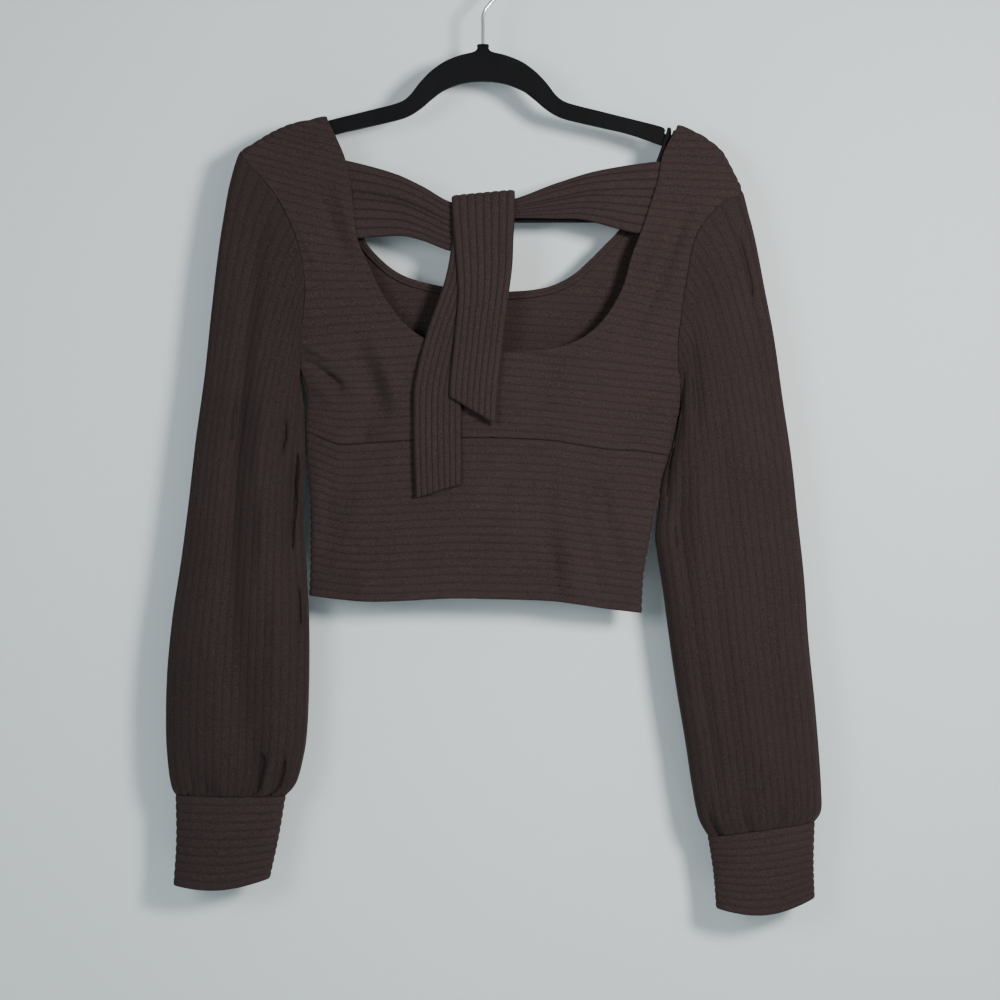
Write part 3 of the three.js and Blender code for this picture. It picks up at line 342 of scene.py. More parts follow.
def read(rows, key, value, column):
    """A column of a table at a value of its key, on one smooth curve through the rows."""
    order = np.argsort(rows[key])
    keys = rows[key][order]
    values = rows[column][order]
    last = len(keys) - 1
    before = np.maximum(np.arange(last + 1) - 1, 0)
    after = np.minimum(np.arange(last + 1) + 1, last)
    slopes = (values[after] - values[before]) / (keys[after] - keys[before])
    value = np.clip(np.asarray(value, dtype=float), keys[0], keys[-1])
    i = np.clip(np.searchsorted(keys, value, side="right") - 1, 0, last - 1)
    span = keys[i + 1] - keys[i]
    s = (value - keys[i]) / span
    start = (2 * s**3 - 3 * s**2 + 1) * values[i] + (s**3 - 2 * s**2 + s) * span * slopes[i]
    return start + (3 * s**2 - 2 * s**3) * values[i + 1] + (s**3 - s**2) * span * slopes[i + 1]


def station(rows, share, column):
    """The same for a table whose rows are evenly spaced stations."""
    numbered = dict(rows)
    numbered["row"] = np.arange(len(rows[column]), dtype=float)
    return read(numbered, "row", np.asarray(share) * (len(rows[column]) - 1), column)


def point(x, y, z):
    return np.stack(np.broadcast_arrays(x, y, z), axis=-1).astype(float)


def unit(vectors):
    return vectors / np.maximum(np.linalg.norm(vectors, axis=-1, keepdims=True), 1e-12)


def humps(rows, first, second, along, across):
    """Sum of soft humps, where along and across give each hump its two distances."""
    total = np.zeros(np.broadcast(first, second).shape)
    for i in range(len(rows["depth"])):
        row = {name: column[i] for name, column in rows.items()}
        total += row["depth"] * np.exp(-along(row, first, second) ** 2 - across(row, first, second) ** 2)
    return total


def body_humps(rows, x, z):
    def along(row, x, z):
        return (z - row["z"]) / row["long"]

    def across(row, x, z):
        return (x - row["x"] - row["lean"] * (z - row["z"])) / row["wide"]

    return humps(rows, x, z, along, across)


def sleeve_humps(rows, turn, at):
    def along(row, turn, at):
        return (at - row["at"]) / row["long"]

    def across(row, turn, at):
        return (turn - row["turn"]) / row["wide"]

    return humps(rows, turn, at, along, across)


def rib(ribs):
    """Height of a rib, from 0 in a groove to 1 on the flat of the ridge."""
    away = np.abs(ribs - np.round(ribs))
    return 1 - np.exp(-((away / GROOVE) ** GROOVE_SHARPNESS))


def opened(below):
    """How far the cloth has opened at a distance below the shoulder seam."""
    closed = 1 - np.clip(below / WRAP, 0, 1)
    return np.sqrt(1 - closed**2)


def armhole_depth(side, z):
    share = (z - UNDERARM_Z[side]) / (TIP_Z[side] - UNDERARM_Z[side])
    return np.where(share <= 0, 0, read(EDGE_DEPTH, "share", np.clip(share, 0, 1), "depth"))


def body_depth(side, face, u, edge_z, x, z, below):
    edge = armhole_depth(side, edge_z)
    folded = body_humps(BODY_FOLDS[face], x, z) * np.sin(np.pi * np.minimum(u, 0.5))
    middle = read(MIDDLE_DEPTH, "z", z, "depth") - folded
    rounded = (1 - (1 - u) ** BODY_OVAL["share"]) ** BODY_OVAL["depth"]
    return HALF_GAP + opened(below) * (edge + (middle - edge) * rounded)


def neck_share(face):
    """Share of a bodice's ribs that end at the neckline, as a whole number of ribs."""
    centre_z = float(read(UNDER_BUST, "x", WAIST_CENTRE["top"], "z"))
    share = (NECK_BOTTOM[face]["z"] - NECK_POINT_Z[LEFT]) / (centre_z - NECK_POINT_Z[LEFT])
    return round(share * BODICE_RIBS) / BODICE_RIBS


def bodice_point(side, face, u, v):
    """A point of the bodice: u from the outer edge to the neckline or centre line, v down."""
    centre_x = WAIST_CENTRE["top"]
    centre_z = float(read(UNDER_BUST, "x", centre_x, "z"))
    bottom = NECK_BOTTOM[face]
    join = neck_share(face)
    lower = np.clip((v - join) / (1 - join), 0, 1)
    upper = np.clip(v / join, 0, 1)
    neck_z = NECK_POINT_Z[side] + (bottom["z"] - NECK_POINT_Z[side]) * upper
    inner_z = neck_z + (centre_z - bottom["z"]) * lower
    outer_z = read(RIB_LINES[face][side], "inner", inner_z, "outer")
    neck_x = read(NECK[face][side], "z", np.maximum(inner_z, bottom["z"]), "x")
    inner_x = np.where(lower > 0, bottom["x"] + (centre_x - bottom["x"]) * lower, neck_x)
    outer_x = read(OUTER[side], "z", outer_z, "x")
    x = outer_x + (inner_x - outer_x) * u
    z = outer_z + (inner_z - outer_z) * u
    seam_z = SIDE_SEAM_Z[side] + (centre_z - SIDE_SEAM_Z[side]) * u
    z = z + (read(UNDER_BUST, "x", x, "z") - seam_z) * np.maximum(1 - (1 - v) / SEAM_REACH, 0)
    shoulder_z = read(SHOULDER[side], "x", x, "z")
    y = face * body_depth(side, face, u, np.minimum(outer_z, TIP_Z[side]), x, z, shoulder_z - z)
    return point(x, y, z)


def waist_point(side, face, u, v):
    """A point of the waist panel: u from the side seam to the centre line, v down to the hem."""
    seam_x = float(read(OUTER[side], "z", SIDE_SEAM_Z[side], "x"))
    top_x = seam_x + (WAIST_CENTRE["top"] - seam_x) * u
    top_z = read(UNDER_BUST, "x", top_x, "z") - SEAM
    hem_edge = float(read(OUTER[side], "z", HEM_Z[side], "x"))
    hem_x = hem_edge + (WAIST_CENTRE["hem"] - hem_edge) * u
    z = top_z + (read(HEM, "x", hem_x, "z") - top_z) * v
    edge_z = SIDE_SEAM_Z[side] + (HEM_Z[side] - SIDE_SEAM_Z[side]) * v
    edge_x = read(OUTER[side], "z", edge_z, "x")
    centre_x = WAIST_CENTRE["top"] + (WAIST_CENTRE["hem"] - WAIST_CENTRE["top"]) * v
    x = edge_x + (centre_x - edge_x) * u
    y = face * body_depth(side, face, u, edge_z, x, z, WRAP)
    return point(x, y, z)


def body_surface(point_at, side, face, join, u, v):
    """Points of a body panel and their outward slopes."""
    here = point_at(side, face, u, v)
    centre = (u >= 1) & (v >= join - 1e-9)
    before = point_at(side, face, np.maximum(u - STEP, 0), v)
    after = point_at(side, face, np.minimum(u + STEP, 1), v)
    mirrored = point_at(-side, face, np.full_like(u, 1 - STEP), v)
    after = np.where(centre[..., None], mirrored, after)
    above = point_at(side, face, u, np.maximum(v - STEP, 0))
    below = point_at(side, face, u, np.minimum(v + STEP, 1))
    across = (after - before) * -side
    down = np.where(centre[..., None], below - here, below - above)
    normal = unit(np.cross(across, down) * face)
    flat_end = (v >= 1) | (point_at is waist_point)
    normal[..., 2] = np.where(flat_end, 0, normal[..., 2])
    share = (here[..., 2] - UNDERARM_Z[side]) / (TIP_Z[side] - UNDERARM_Z[side])
    held = np.clip(share / HELD["armhole"], 0, 1) * np.clip(1 - u / HELD["body"], 0, 1)
    normal[..., 0] *= 1 - held
    return here, unit(normal)


def sleeve_angle(share):
    """Turn round a flat-hanging tube, as an angle, so that equal shares are equal lengths."""
    turns = np.linspace(0, 2 * np.pi, TUBE_STEPS)
    wide = -np.cos(turns)
    deep = TUBE_DEPTH * np.sign(np.sin(turns)) * np.abs(np.sin(turns)) ** OVAL
    walked = np.concatenate([[0], np.cumsum(np.hypot(np.diff(wide), np.diff(deep)))])
    return np.interp(share % 1, walked / walked[-1], turns)


def sleeve_point(side, share, along):
    """A point of a sleeve: share goes once round it from its outer edge, along runs to the cuff."""
    angle = sleeve_angle(share)
    turn = angle / (2 * np.pi)
    s = (1 - np.cos(angle)) / 2
    face = np.where(np.sin(angle) >= 0, TIE_SIDE, PLAIN_SIDE)
    rows = SLEEVE[side]
    sizes = bpy.context.scene.crop_top_sizes
    proud = (sizes.cloth + sizes.ridge) / MM
    inset = proud * np.minimum(along * len(rows["half"]), 1)
    out_x = station(rows, along, "outX") - side * inset
    in_x = station(rows, along, "inX") + side * inset
    out_z = station(rows, along, "outZ")
    in_z = station(rows, along, "inZ")
    ring_z = TIP_Z[side] + (UNDERARM_Z[side] - TIP_Z[side]) * s
    ring_x = read(OUTER[side], "z", ring_z, "x") + side * ARMHOLE_GAP
    tip_x = float(read(OUTER[side], "z", TIP_Z[side], "x"))
    under_x = float(read(OUTER[side], "z", UNDERARM_Z[side], "x"))
    fade = np.maximum(1 - along / RING["follows"], 0) ** 2
    shape = np.maximum(1 - along / RING["shapes"], 0) ** 2
    x = out_x + (in_x - out_x) * s + (ring_x - (tip_x + (under_x - tip_x) * s)) * fade
    z = out_z + (in_z - out_z) * s
    ring = armhole_depth(side, ring_z) * opened(TIP_Z[side] - ring_z)
    tube = station(rows, along, "half") * np.abs(np.sin(angle)) ** OVAL
    creases = CREASE["sleeve"] * sleeve_humps(SLEEVE_CREASES[side], turn, along)
    fold = sleeve_humps(SLEEVE_FOLDS, turn, along) + creases
    near_cuff = np.maximum(1 - (1 - along) / GATHERS["reach"], 0) ** 1.5
    drift = GATHERS["drift"] * np.sin(GATHERS["drifts"] * turn + side)
    waves = np.sin(2 * np.pi * (GATHERS["waves"] * turn + drift))
    gather = GATHERS["depth"] * near_cuff * waves * np.abs(np.sin(angle)) ** 0.5
    depth = ring * shape + tube * (1 - shape) - (fold + gather) * (1 - shape)
    return point(x, face * np.maximum(depth, 0), z)


def cuff_point(side, share, along):
    angle = sleeve_angle(share)
    s = (1 - np.cos(angle)) / 2
    rows = CUFF[side]
    sizes = bpy.context.scene.crop_top_sizes
    inset = (sizes.cloth + sizes.ridge) / MM
    out_x = station(rows, along, "outX") - side * inset
    in_x = station(rows, along, "inX") + side * inset
    out_z = station(rows, along, "outZ")
    in_z = station(rows, along, "inZ")
    dip = station(rows, along, "dip") * np.sin(np.pi * s)
    depth = station(rows, along, "half") * np.abs(np.sin(angle)) ** OVAL
    y = np.where(np.sin(angle) >= 0, -1, 1) * depth
    return point(out_x + (in_x - out_x) * s, y, out_z + (in_z - out_z) * s - dip - SEAM)


def tube_surface(point_at, side, share, along):
    here = point_at(side, share, along)
    around = point_at(side, share + STEP, along) - point_at(side, share - STEP, along)
    down = point_at(side, share, np.minimum(along + STEP, 1))
    down = down - point_at(side, share, np.maximum(along - STEP, 0))
    normal = unit(np.cross(around, down))
    middle = (point_at(side, 0 * share, along) + point_at(side, 0 * share + 0.5, along)) / 2
    inwards = np.sum(normal * (here - middle), axis=-1) < 0
    normal = np.where(inwards[..., None], -normal, normal)
    if point_at is cuff_point:
        normal[..., 2] = 0
    normal[..., 2] = np.where(along >= 1, 0, normal[..., 2])
    if point_at is sleeve_point:
        ring = (here[..., 2] - UNDERARM_Z[side]) / (TIP_Z[side] - UNDERARM_Z[side])
        held = np.clip(ring / HELD["armhole"], 0, 1) * np.clip(1 - along / HELD["sleeve"], 0, 1)
        normal[..., 0] *= 1 - held
    return here, unit(normal)


def band_point(side):
    sewn = BAND_SEWN[side]
    rows = BAND[side]

    def at(u, v):
        up_x = station(rows, v, "upX")
        up_z = station(rows, v, "upZ")
        x = up_x + (station(rows, v, "lowX") - up_x) * u
        z = up_z + (station(rows, v, "lowZ") - up_z) * u
        y = station(rows, v, "y")
        edge_z = sewn["up"] + (sewn["low"] - sewn["up"]) * u
        edge_x = read(NECK[TIE_SIDE][side], "z", edge_z, "x") + side * BAND_UNDER
        depth = read(MIDDLE_DEPTH, "z", edge_z, "depth") - BAND_INSIDE
        blend = np.maximum(1 - v / BAND_START["share"], 0) ** BAND_START["power"]
        roll = np.exp(-(((u - BAND_ROLL["at"]) / BAND_ROLL["wide"]) ** 2))
        y = y + (-depth - y) * blend
        groove = np.exp(-(((u - BAND_FOLD["at"]) / BAND_FOLD["wide"]) ** 2))
        y = y - BAND_ROLL["depth"] * np.sin(np.pi * v) * (1 - v) * roll
        y = y + BAND_FOLD[side] * np.sin(np.pi * np.minimum(v + 0.25, 1)) * groove
        return point(x + (edge_x - x) * blend, y, z + (edge_z - z) * blend)

    return at


def tail_point(rows):
    def at(u, v):
        up_x = station(rows, v, "upX")
        up_z = station(rows, v, "upZ")
        x = up_x + (station(rows, v, "lowX") - up_x) * u
        z = up_z + (station(rows, v, "lowZ") - up_z) * u
        return point(x, station(rows, v, "y"), z)

    return at


def strip_surface(point_at, sign, u, v):
    here = point_at(u, v)
    across = point_at(np.minimum(u + STEP, 1), v) - point_at(np.maximum(u - STEP, 0), v)
    along = point_at(u, np.minimum(v + STEP, 1)) - point_at(u, np.maximum(v - STEP, 0))
    return here, unit(np.cross(across, along) * sign)


def neckline_point(share):
    """A point of the plain side's neckline: -1 at the left neck point, 1 at the right."""
    reach = 1 - np.abs(share) ** FACING["spread"]
    bottom = NECK_BOTTOM[PLAIN_SIDE]["z"]
    places = []
    for side in (LEFT, RIGHT):
        z = NECK_POINT_Z[side] + (bottom - NECK_POINT_Z[side]) * reach
        places.append(np.stack([read(NECK[PLAIN_SIDE][side], "z", z, "x"), z], axis=-1))
    return np.where((share < 0)[..., None], places[0], places[1])


def facing_point(u, v):
    """A point of the facing: u from the neckline outwards, v along it."""
    turn = (FACING["ends"] + (1 - 2 * FACING["ends"]) * v) * 2 - 1
    here = neckline_point(turn)
    slope = neckline_point(np.minimum(turn + FACING["nearby"], 1))
    slope = unit(slope - neckline_point(np.maximum(turn - FACING["nearby"], -1)))
    x = here[..., 0] + slope[..., 1] * FACING["wide"] * u
    z = here[..., 1] - slope[..., 0] * FACING["wide"] * u
    depth = np.zeros_like(x)
    for side in (LEFT, RIGHT):
        tip = TIP_Z[side]
        width = np.abs(read(OUTER[side], "z", np.minimum(z, tip), "x") - here[..., 0])
        share = np.clip(1 - FACING["wide"] * u * np.abs(slope[..., 1]) / width, 0, 1)
        edge_z = np.minimum(z - FACING["slack"], tip)
        own = body_depth(side, PLAIN_SIDE, share, edge_z, x, z, WRAP)
        depth = np.where((turn < 0) == (side == LEFT), own, depth)
    return point(x, depth - FACING["gap"], z)


def grid(columns, rows):
    return np.meshgrid(columns, rows)


class Wall:
    """Collects the faces of one piece of cloth, in millimetres, then makes its mesh."""

    def __init__(self):
        self.points = []
        self.faces = []
        self.uvs = []
        self.count = 0

    def add(self, outer, inner, weave, around=False, flip=False, joined_from=None):
        """Adds an outer and an inner face and the edges between them.

        weave is the map of the knit: metres along a rib and ribs counted across.
        """
        rows, columns = outer.shape[:2]
        wide = columns + 1 if around else columns
        base = self.count
        self.points += [outer.reshape(-1, 3), inner.reshape(-1, 3)]
        self.count += 2 * rows * columns
        uv = np.stack(weave, axis=-1)

        def number(layer, row, column):
            return base + layer * rows * columns + row * columns + column % columns

        def quads(corners):
            order = corners[::-1] if flip else corners
            ids = [number(layer, row, column) for layer, row, column in order]
            texture = [uv[row, np.minimum(column, wide - 1)] for layer, row, column in order]
            self.faces.append(np.stack([i.reshape(-1) for i in ids], axis=-1))
            self.uvs.append(np.stack([t.reshape(-1, 2) for t in texture], axis=1))

        r, c = np.meshgrid(np.arange(rows - 1), np.arange(wide - 1), indexing="ij")
        quads([(0, r, c), (0, r + 1, c), (0, r + 1, c + 1), (0, r, c + 1)])
        quads([(1, r, c), (1, r, c + 1), (1, r + 1, c + 1), (1, r + 1, c)])
        c = np.arange(wide - 1)
        first = np.zeros_like(c)
        last = first + rows - 1
        quads([(0, first, c), (0, first, c + 1), (1, first, c + 1), (1, first, c)])
        quads([(0, last, c), (1, last, c), (1, last, c + 1), (0, last, c + 1)])
        if around:
            return
        r = np.arange(rows - 1)
        start = np.zeros_like(r)
        quads([(0, r, start), (1, r, start), (1, r + 1, start), (0, r + 1, start)])
        r = r if joined_from is None else r[:joined_from]
        end = np.full_like(r, columns - 1)
        quads([(0, r, end), (0, r + 1, end), (1, r + 1, end), (1, r, end)])

    def to_mesh(self, name, material):
        mesh = bpy.data.meshes.new(name)
        points = np.concatenate(self.points) * MM
        faces = np.concatenate(self.faces)
        mesh.from_pydata(points.tolist(), [], faces.tolist())
        layer = mesh.uv_layers.new(name="weave")
        layer.data.foreach_set("uv", np.concatenate(self.uvs).reshape(-1))
        edit = bmesh.new()
        edit.from_mesh(mesh)
        bmesh.ops.remove_doubles(edit, verts=edit.verts, dist=2e-6)
        bmesh.ops.dissolve_degenerate(edit, edges=edit.edges, dist=1e-7)
        if edit.calc_volume(signed=True) < 0:
            bmesh.ops.reverse_faces(edit, faces=edit.faces)
        edit.to_mesh(mesh)
        edit.free()
        mesh.shade_smooth()
        piece = bpy.data.objects.new(name, mesh)
        bpy.context.scene.collection.objects.link(piece)
        mesh.materials.append(material)
        return piece


def distance_along(points):
    """Length walked along each row of a grid, in metres."""
    steps = np.linalg.norm(np.diff(points, axis=1), axis=-1)
    return np.concatenate([np.zeros((len(points), 1)), np.cumsum(steps, axis=1)], axis=1) * MM


def lifted(here, normal, ribs, ridge):
    sizes = bpy.context.scene.crop_top_sizes
    return here + normal * ((sizes.cloth + ridge * rib(ribs)) / MM)[..., None]


def finish_cloth(piece, nodes):
    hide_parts(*nodes)
    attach(piece, "root")


def body_panel(name, point_at, face, ribs, join):
    """A bodice or waist panel, made of two halves that run into each other below join."""
    rows = ribs * PER_RIB + 1
    down = np.linspace(0, 1, rows)
    first_joined = round(join * ribs) * PER_RIB
    join = down[first_joined]
    columns = np.linspace(0, 1, HALF_COLUMNS + 1) ** EDGE_BIAS
    u, v = grid(columns, down)
    wall = Wall()
    ridge = bpy.context.scene.crop_top_sizes.ridge
    for side in (LEFT, RIGHT):
        here, normal = body_surface(point_at, side, face, join, u, v)
        crease = CREASE["body"] * body_humps(BODY_CREASES[face], here[..., 0], here[..., 2])
        fade = np.clip(u / CREASE_FADE["edge"], 0, 1) * np.clip(v * ribs / CREASE_FADE["ribs"], 0, 1)
        here = here - normal * (crease * fade)[..., None]
        outer = lifted(here, normal, v * ribs, ridge)
        weave = (here[..., 0] * MM, v * ribs)
        flip = (side == RIGHT) != (face == PLAIN_SIDE)
        wall.add(outer, here, weave, flip=flip, joined_from=first_joined)
    piece = wall.to_mesh(name + "_cloth", knit_material("Rib knit"))
    finish_cloth(piece, [name])
    return piece


def tube(name, nodes, point_at, side, columns, rows, ribs_around, ribs_along, flat):
    """A sleeve or cuff, which stands for the named nodes."""
    share, along = grid(np.arange(columns) / columns, np.linspace(0, 1, rows + 1))
    here, normal = tube_surface(point_at, side, share, along)
    ribs = share * ribs_around if ribs_around else along * ribs_along
    sizes = bpy.context.scene.crop_top_sizes
    outer = lifted(here, normal, ribs, sizes.sleeve_ridge if ribs_around else sizes.ridge)
    closed = np.concatenate([here, here[:, :1]], axis=1)
    around = distance_along(closed)
    full, down = grid(np.arange(columns + 1) / columns, np.linspace(0, 1, rows + 1))
    length = flat[1] * down
    weave = (length, full * ribs_around) if ribs_around else (around, down * ribs_along)
    wall = Wall()
    wall.add(outer, here, weave, around=True)
    # The sleeves take the darker copy of the knit, which is painted shade
    knit = knit_material("Rib knit lengthwise" if ribs_around else "Rib knit")
    piece = wall.to_mesh(name + "_cloth", knit)
    finish_cloth(piece, nodes)
    return piece


def strip(name, point_at, sign, rows, flat):
    """A flat tube of the tie, with ribs along it on both faces and folded edges."""
    sizes = bpy.context.scene.crop_top_sizes
    u, v = grid(np.linspace(0, 1, TIE_RIBS * PER_RIB + 1), np.linspace(0, 1, rows + 1))
    here, normal = strip_surface(point_at, sign, u, v)
    full = (1 - np.abs(2 * u - 1) ** TIE_EDGE) ** 0.5
    tie = sizes.tie / MM
    ridge = sizes.ridge / MM * rib(u * TIE_RIBS)
    middle = here + normal * (tie / 2)
    outer = middle + normal * (full * (tie / 2 + ridge))[..., None]
    inner = middle - normal * (full * (tie / 2 - TIE_GROOVE + TIE_GROOVE * rib(u * TIE_RIBS)))[..., None]
    wall = Wall()
    wall.add(outer, inner, (flat[1] * v, u * TIE_RIBS))
    piece = wall.to_mesh(name + "_cloth", knit_material("Rib knit of the tie"))
    finish_cloth(piece, [name])
    return piece


def new_material(name):
    material = bpy.data.materials.new(name)
    material.use_nodes = True
    nodes = material.node_tree.nodes
    return material, nodes, material.node_tree.links, nodes["Principled BSDF"]


def group_sockets(tree, inputs, outputs):
    for name, kind, default in inputs:
        socket = tree.interface.new_socket(name, in_out="INPUT", socket_type=kind)
        if default is not None:
            socket.default_value = default
    for name, kind in outputs:
        tree.interface.new_socket(name, in_out="OUTPUT", socket_type=kind)


def math_node(tree, operation, first, second=None, clamp=False):
    """One Math node; first and second are sockets or numbers."""
    node = tree.nodes.new("ShaderNodeMath")
    node.operation = operation
    node.use_clamp = clamp
    for i, value in enumerate((first, second)):
        if value is None:
            continue
        if isinstance(value, (int, float)):
            node.inputs[i].default_value = value
        else:
            tree.links.new(value, node.inputs[i])
    return node.outputs[0]


def fuzz_group():
    """Fine and broad noise on object coordinates, for nap, lint and uneven dye."""
    name = "Fuzz"
    if name in bpy.data.node_groups:
        return bpy.data.node_groups[name]
    tree = bpy.data.node_groups.new(name, "ShaderNodeTree")
    group_sockets(
        tree,
        [("Vector", "NodeSocketVector", None), ("Fine", "NodeSocketFloat", 2200.0),
         ("Broad", "NodeSocketFloat", 14.0)],
        [("Fine", "NodeSocketFloat"), ("Broad", "NodeSocketFloat")],
    )
    inside = tree.nodes.new("NodeGroupInput")
    outside = tree.nodes.new("NodeGroupOutput")
    for socket, detail in (("Fine", 3.0), ("Broad", 4.0)):
        noise = tree.nodes.new("ShaderNodeTexNoise")
        noise.inputs["Detail"].default_value = detail
        tree.links.new(inside.outputs["Vector"], noise.inputs["Vector"])
        tree.links.new(inside.outputs[socket], noise.inputs["Scale"])
        tree.links.new(noise.outputs["Fac"], outside.inputs[socket])
    return tree


def stitch_group():
    """Rib grooves, as a mask for painted shade, and rows of knit stitches, from the weave map: x in
    metres, y in ribs.
    """
    name = "Rib stitches"
    if name in bpy.data.node_groups:
        return bpy.data.node_groups[name]
    tree = bpy.data.node_groups.new(name, "ShaderNodeTree")
    group_sockets(
        tree,
        [("Weave", "NodeSocketVector", None), ("Stitches per metre", "NodeSocketFloat", 620.0),
         ("Rows per rib", "NodeSocketFloat", 4.0)],
        [("Height", "NodeSocketFloat"), ("Groove", "NodeSocketFloat")],
    )
    inside = tree.nodes.new("NodeGroupInput")
    outside = tree.nodes.new("NodeGroupOutput")
    parts = tree.nodes.new("ShaderNodeSeparateXYZ")
    tree.links.new(inside.outputs["Weave"], parts.inputs[0])
    across = math_node(tree, "MULTIPLY", parts.outputs["X"], inside.outputs["Stitches per metre"])
    rows = math_node(tree, "MULTIPLY", parts.outputs["Y"], inside.outputs["Rows per rib"])
    lean = math_node(tree, "PINGPONG", rows, 0.5)
    slanted = math_node(tree, "ADD", across, lean)
    wale = math_node(tree, "SINE", math_node(tree, "MULTIPLY", slanted, 2 * math.pi))
    course = math_node(tree, "SINE", math_node(tree, "MULTIPLY", rows, 2 * math.pi))
    wale = math_node(tree, "MULTIPLY", wale, 0.6)
    course = math_node(tree, "MULTIPLY", course, 0.4)
    height = math_node(tree, "ADD", wale, course)
    folded = math_node(tree, "PINGPONG", parts.outputs["Y"], 0.5)
    groove = math_node(tree, "SUBTRACT", 1.0, math_node(tree, "MULTIPLY", folded, 5.0), clamp=True)
    tree.links.new(height, outside.inputs["Height"])
    tree.links.new(groove, outside.inputs["Groove"])
    return tree


def mix_colour(tree, factor, first, second):
    node = tree.nodes.new("ShaderNodeMix")
    node.data_type = "RGBA"
    tree.links.new(factor, node.inputs["Factor"])
    for socket, value in (("A", first), ("B", second)):
        target = [i for i in node.inputs if i.name == socket and i.type == "RGBA"][0]
        if isinstance(value, tuple):
            target.default_value = value
        else:
            tree.links.new(value, target)
    return [o for o in node.outputs if o.type == "RGBA"][0]


def shade(colour, factor):
    """A colour made darker or lighter."""
    return tuple(channel * factor for channel in colour[:3]) + (1.0,)


def knit_material(name):
    """Dark ottoman rib: matte yarn with a soft nap, and painted shade in the grooves."""
    if name in bpy.data.materials:
        return bpy.data.materials[name]
    depth = KNITS[name]
    colour = shade(bpy.context.scene.crop_top_colours.knit, depth["tone_and_shade"])
    material, nodes, links, shader = new_material(name)
    tree = material.node_tree
    weave = nodes.new("ShaderNodeUVMap")
    weave.uv_map = "weave"
    where = nodes.new("ShaderNodeTexCoord")
    stitches = nodes.new("ShaderNodeGroup")
    stitches.node_tree = stitch_group()
    links.new(weave.outputs["UV"], stitches.inputs["Weave"])
    fuzz = nodes.new("ShaderNodeGroup")
    fuzz.node_tree = fuzz_group()
    fuzz.inputs["Fine"].default_value = 1100.0
    links.new(where.outputs["Object"], fuzz.inputs["Vector"])
    dyed = mix_colour(tree, fuzz.outputs["Broad"], shade(colour, 0.65), shade(colour, 1.2))
    above = math_node(tree, "SUBTRACT", fuzz.outputs["Fine"], 0.38, clamp=True)
    fleck = math_node(tree, "MULTIPLY", above, 3.2)
    flecked = mix_colour(tree, fleck, dyed, shade(colour, 2.1))
    # Painted shade in the rib grooves: the colour is darkened there
    groove = math_node(tree, "MULTIPLY", stitches.outputs["Groove"], depth["groove"])
    groove_shaded = mix_colour(tree, groove, flecked, shade(colour, 0.3))
    links.new(groove_shaded, shader.inputs["Base Color"])
    rough = math_node(tree, "ADD", math_node(tree, "MULTIPLY", fuzz.outputs["Fine"], 0.12), 0.84)
    links.new(rough, shader.inputs["Roughness"])
    shader.inputs["Specular IOR Level"].default_value = 0.12
    shader.inputs["Sheen Weight"].default_value = 0.07
    shader.inputs["Sheen Roughness"].default_value = 0.45
    shader.inputs["Sheen Tint"].default_value = (0.75, 0.6, 0.55, 1.0)
    raised = math_node(tree, "MULTIPLY", stitches.outputs["Height"], 0.5)
    height = math_node(tree, "ADD", raised, fuzz.outputs["Fine"])
    bump = nodes.new("ShaderNodeBump")
    bump.inputs["Strength"].default_value = 0.55
    bump.inputs["Distance"].default_value = 0.00035
    links.new(height, bump.inputs["Height"])
    links.new(bump.outputs["Normal"], shader.inputs["Normal"])
    return material


def flock_material():
    """Black velvet flock with a few lighter worn specks."""
    name = "Flock"
    if name in bpy.data.materials:
        return bpy.data.materials[name]
    colour = tuple(bpy.context.scene.crop_top_colours.flock) + (1.0,)
    material, nodes, links, shader = new_material(name)
    tree = material.node_tree
    where = nodes.new("ShaderNodeTexCoord")
    fuzz = nodes.new("ShaderNodeGroup")
    fuzz.node_tree = fuzz_group()
    fuzz.inputs["Fine"].default_value = 2600.0
    fuzz.inputs["Broad"].default_value = 30.0
    links.new(where.outputs["Object"], fuzz.inputs["Vector"])
    base = mix_colour(tree, fuzz.outputs["Broad"], shade(colour, 0.7), shade(colour, 1.5))
    above = math_node(tree, "SUBTRACT", fuzz.outputs["Fine"], 0.66, clamp=True)
    speck = math_node(tree, "MULTIPLY", above, 3.0)
    links.new(mix_colour(tree, speck, base, shade(colour, 6.0)), shader.inputs["Base Color"])
    shader.inputs["Roughness"].default_value = 0.95
    shader.inputs["Specular IOR Level"].default_value = 0.06
    shader.inputs["Sheen Weight"].default_value = 0.08
    shader.inputs["Sheen Roughness"].default_value = 0.4
    bump = nodes.new("ShaderNodeBump")
    bump.inputs["Strength"].default_value = 0.6
    bump.inputs["Distance"].default_value = 0.0003
    links.new(fuzz.outputs["Fine"], bump.inputs["Height"])
    links.new(bump.outputs["Normal"], shader.inputs["Normal"])
    return material


def steel_material():
    """Bright plated wire with faint draw marks."""
    name = "Plated wire"
    if name in bpy.data.materials:
        return bpy.data.materials[name]
    material, nodes, links, shader = new_material(name)
    tree = material.node_tree
    where = nodes.new("ShaderNodeTexCoord")
    fuzz = nodes.new("ShaderNodeGroup")
    fuzz.node_tree = fuzz_group()
    fuzz.inputs["Fine"].default_value = 900.0
    fuzz.inputs["Broad"].default_value = 60.0
    links.new(where.outputs["Object"], fuzz.inputs["Vector"])
    steel = tuple(bpy.context.scene.crop_top_colours.steel) + (1.0,)
    plated = mix_colour(tree, fuzz.outputs["Broad"], shade(steel, 0.8), steel)
    links.new(plated, shader.inputs["Base Color"])
    shader.inputs["Metallic"].default_value = 1.0
    rough = math_node(tree, "ADD", math_node(tree, "MULTIPLY", fuzz.outputs["Fine"], 0.15), 0.14)
    links.new(rough, shader.inputs["Roughness"])
    return material


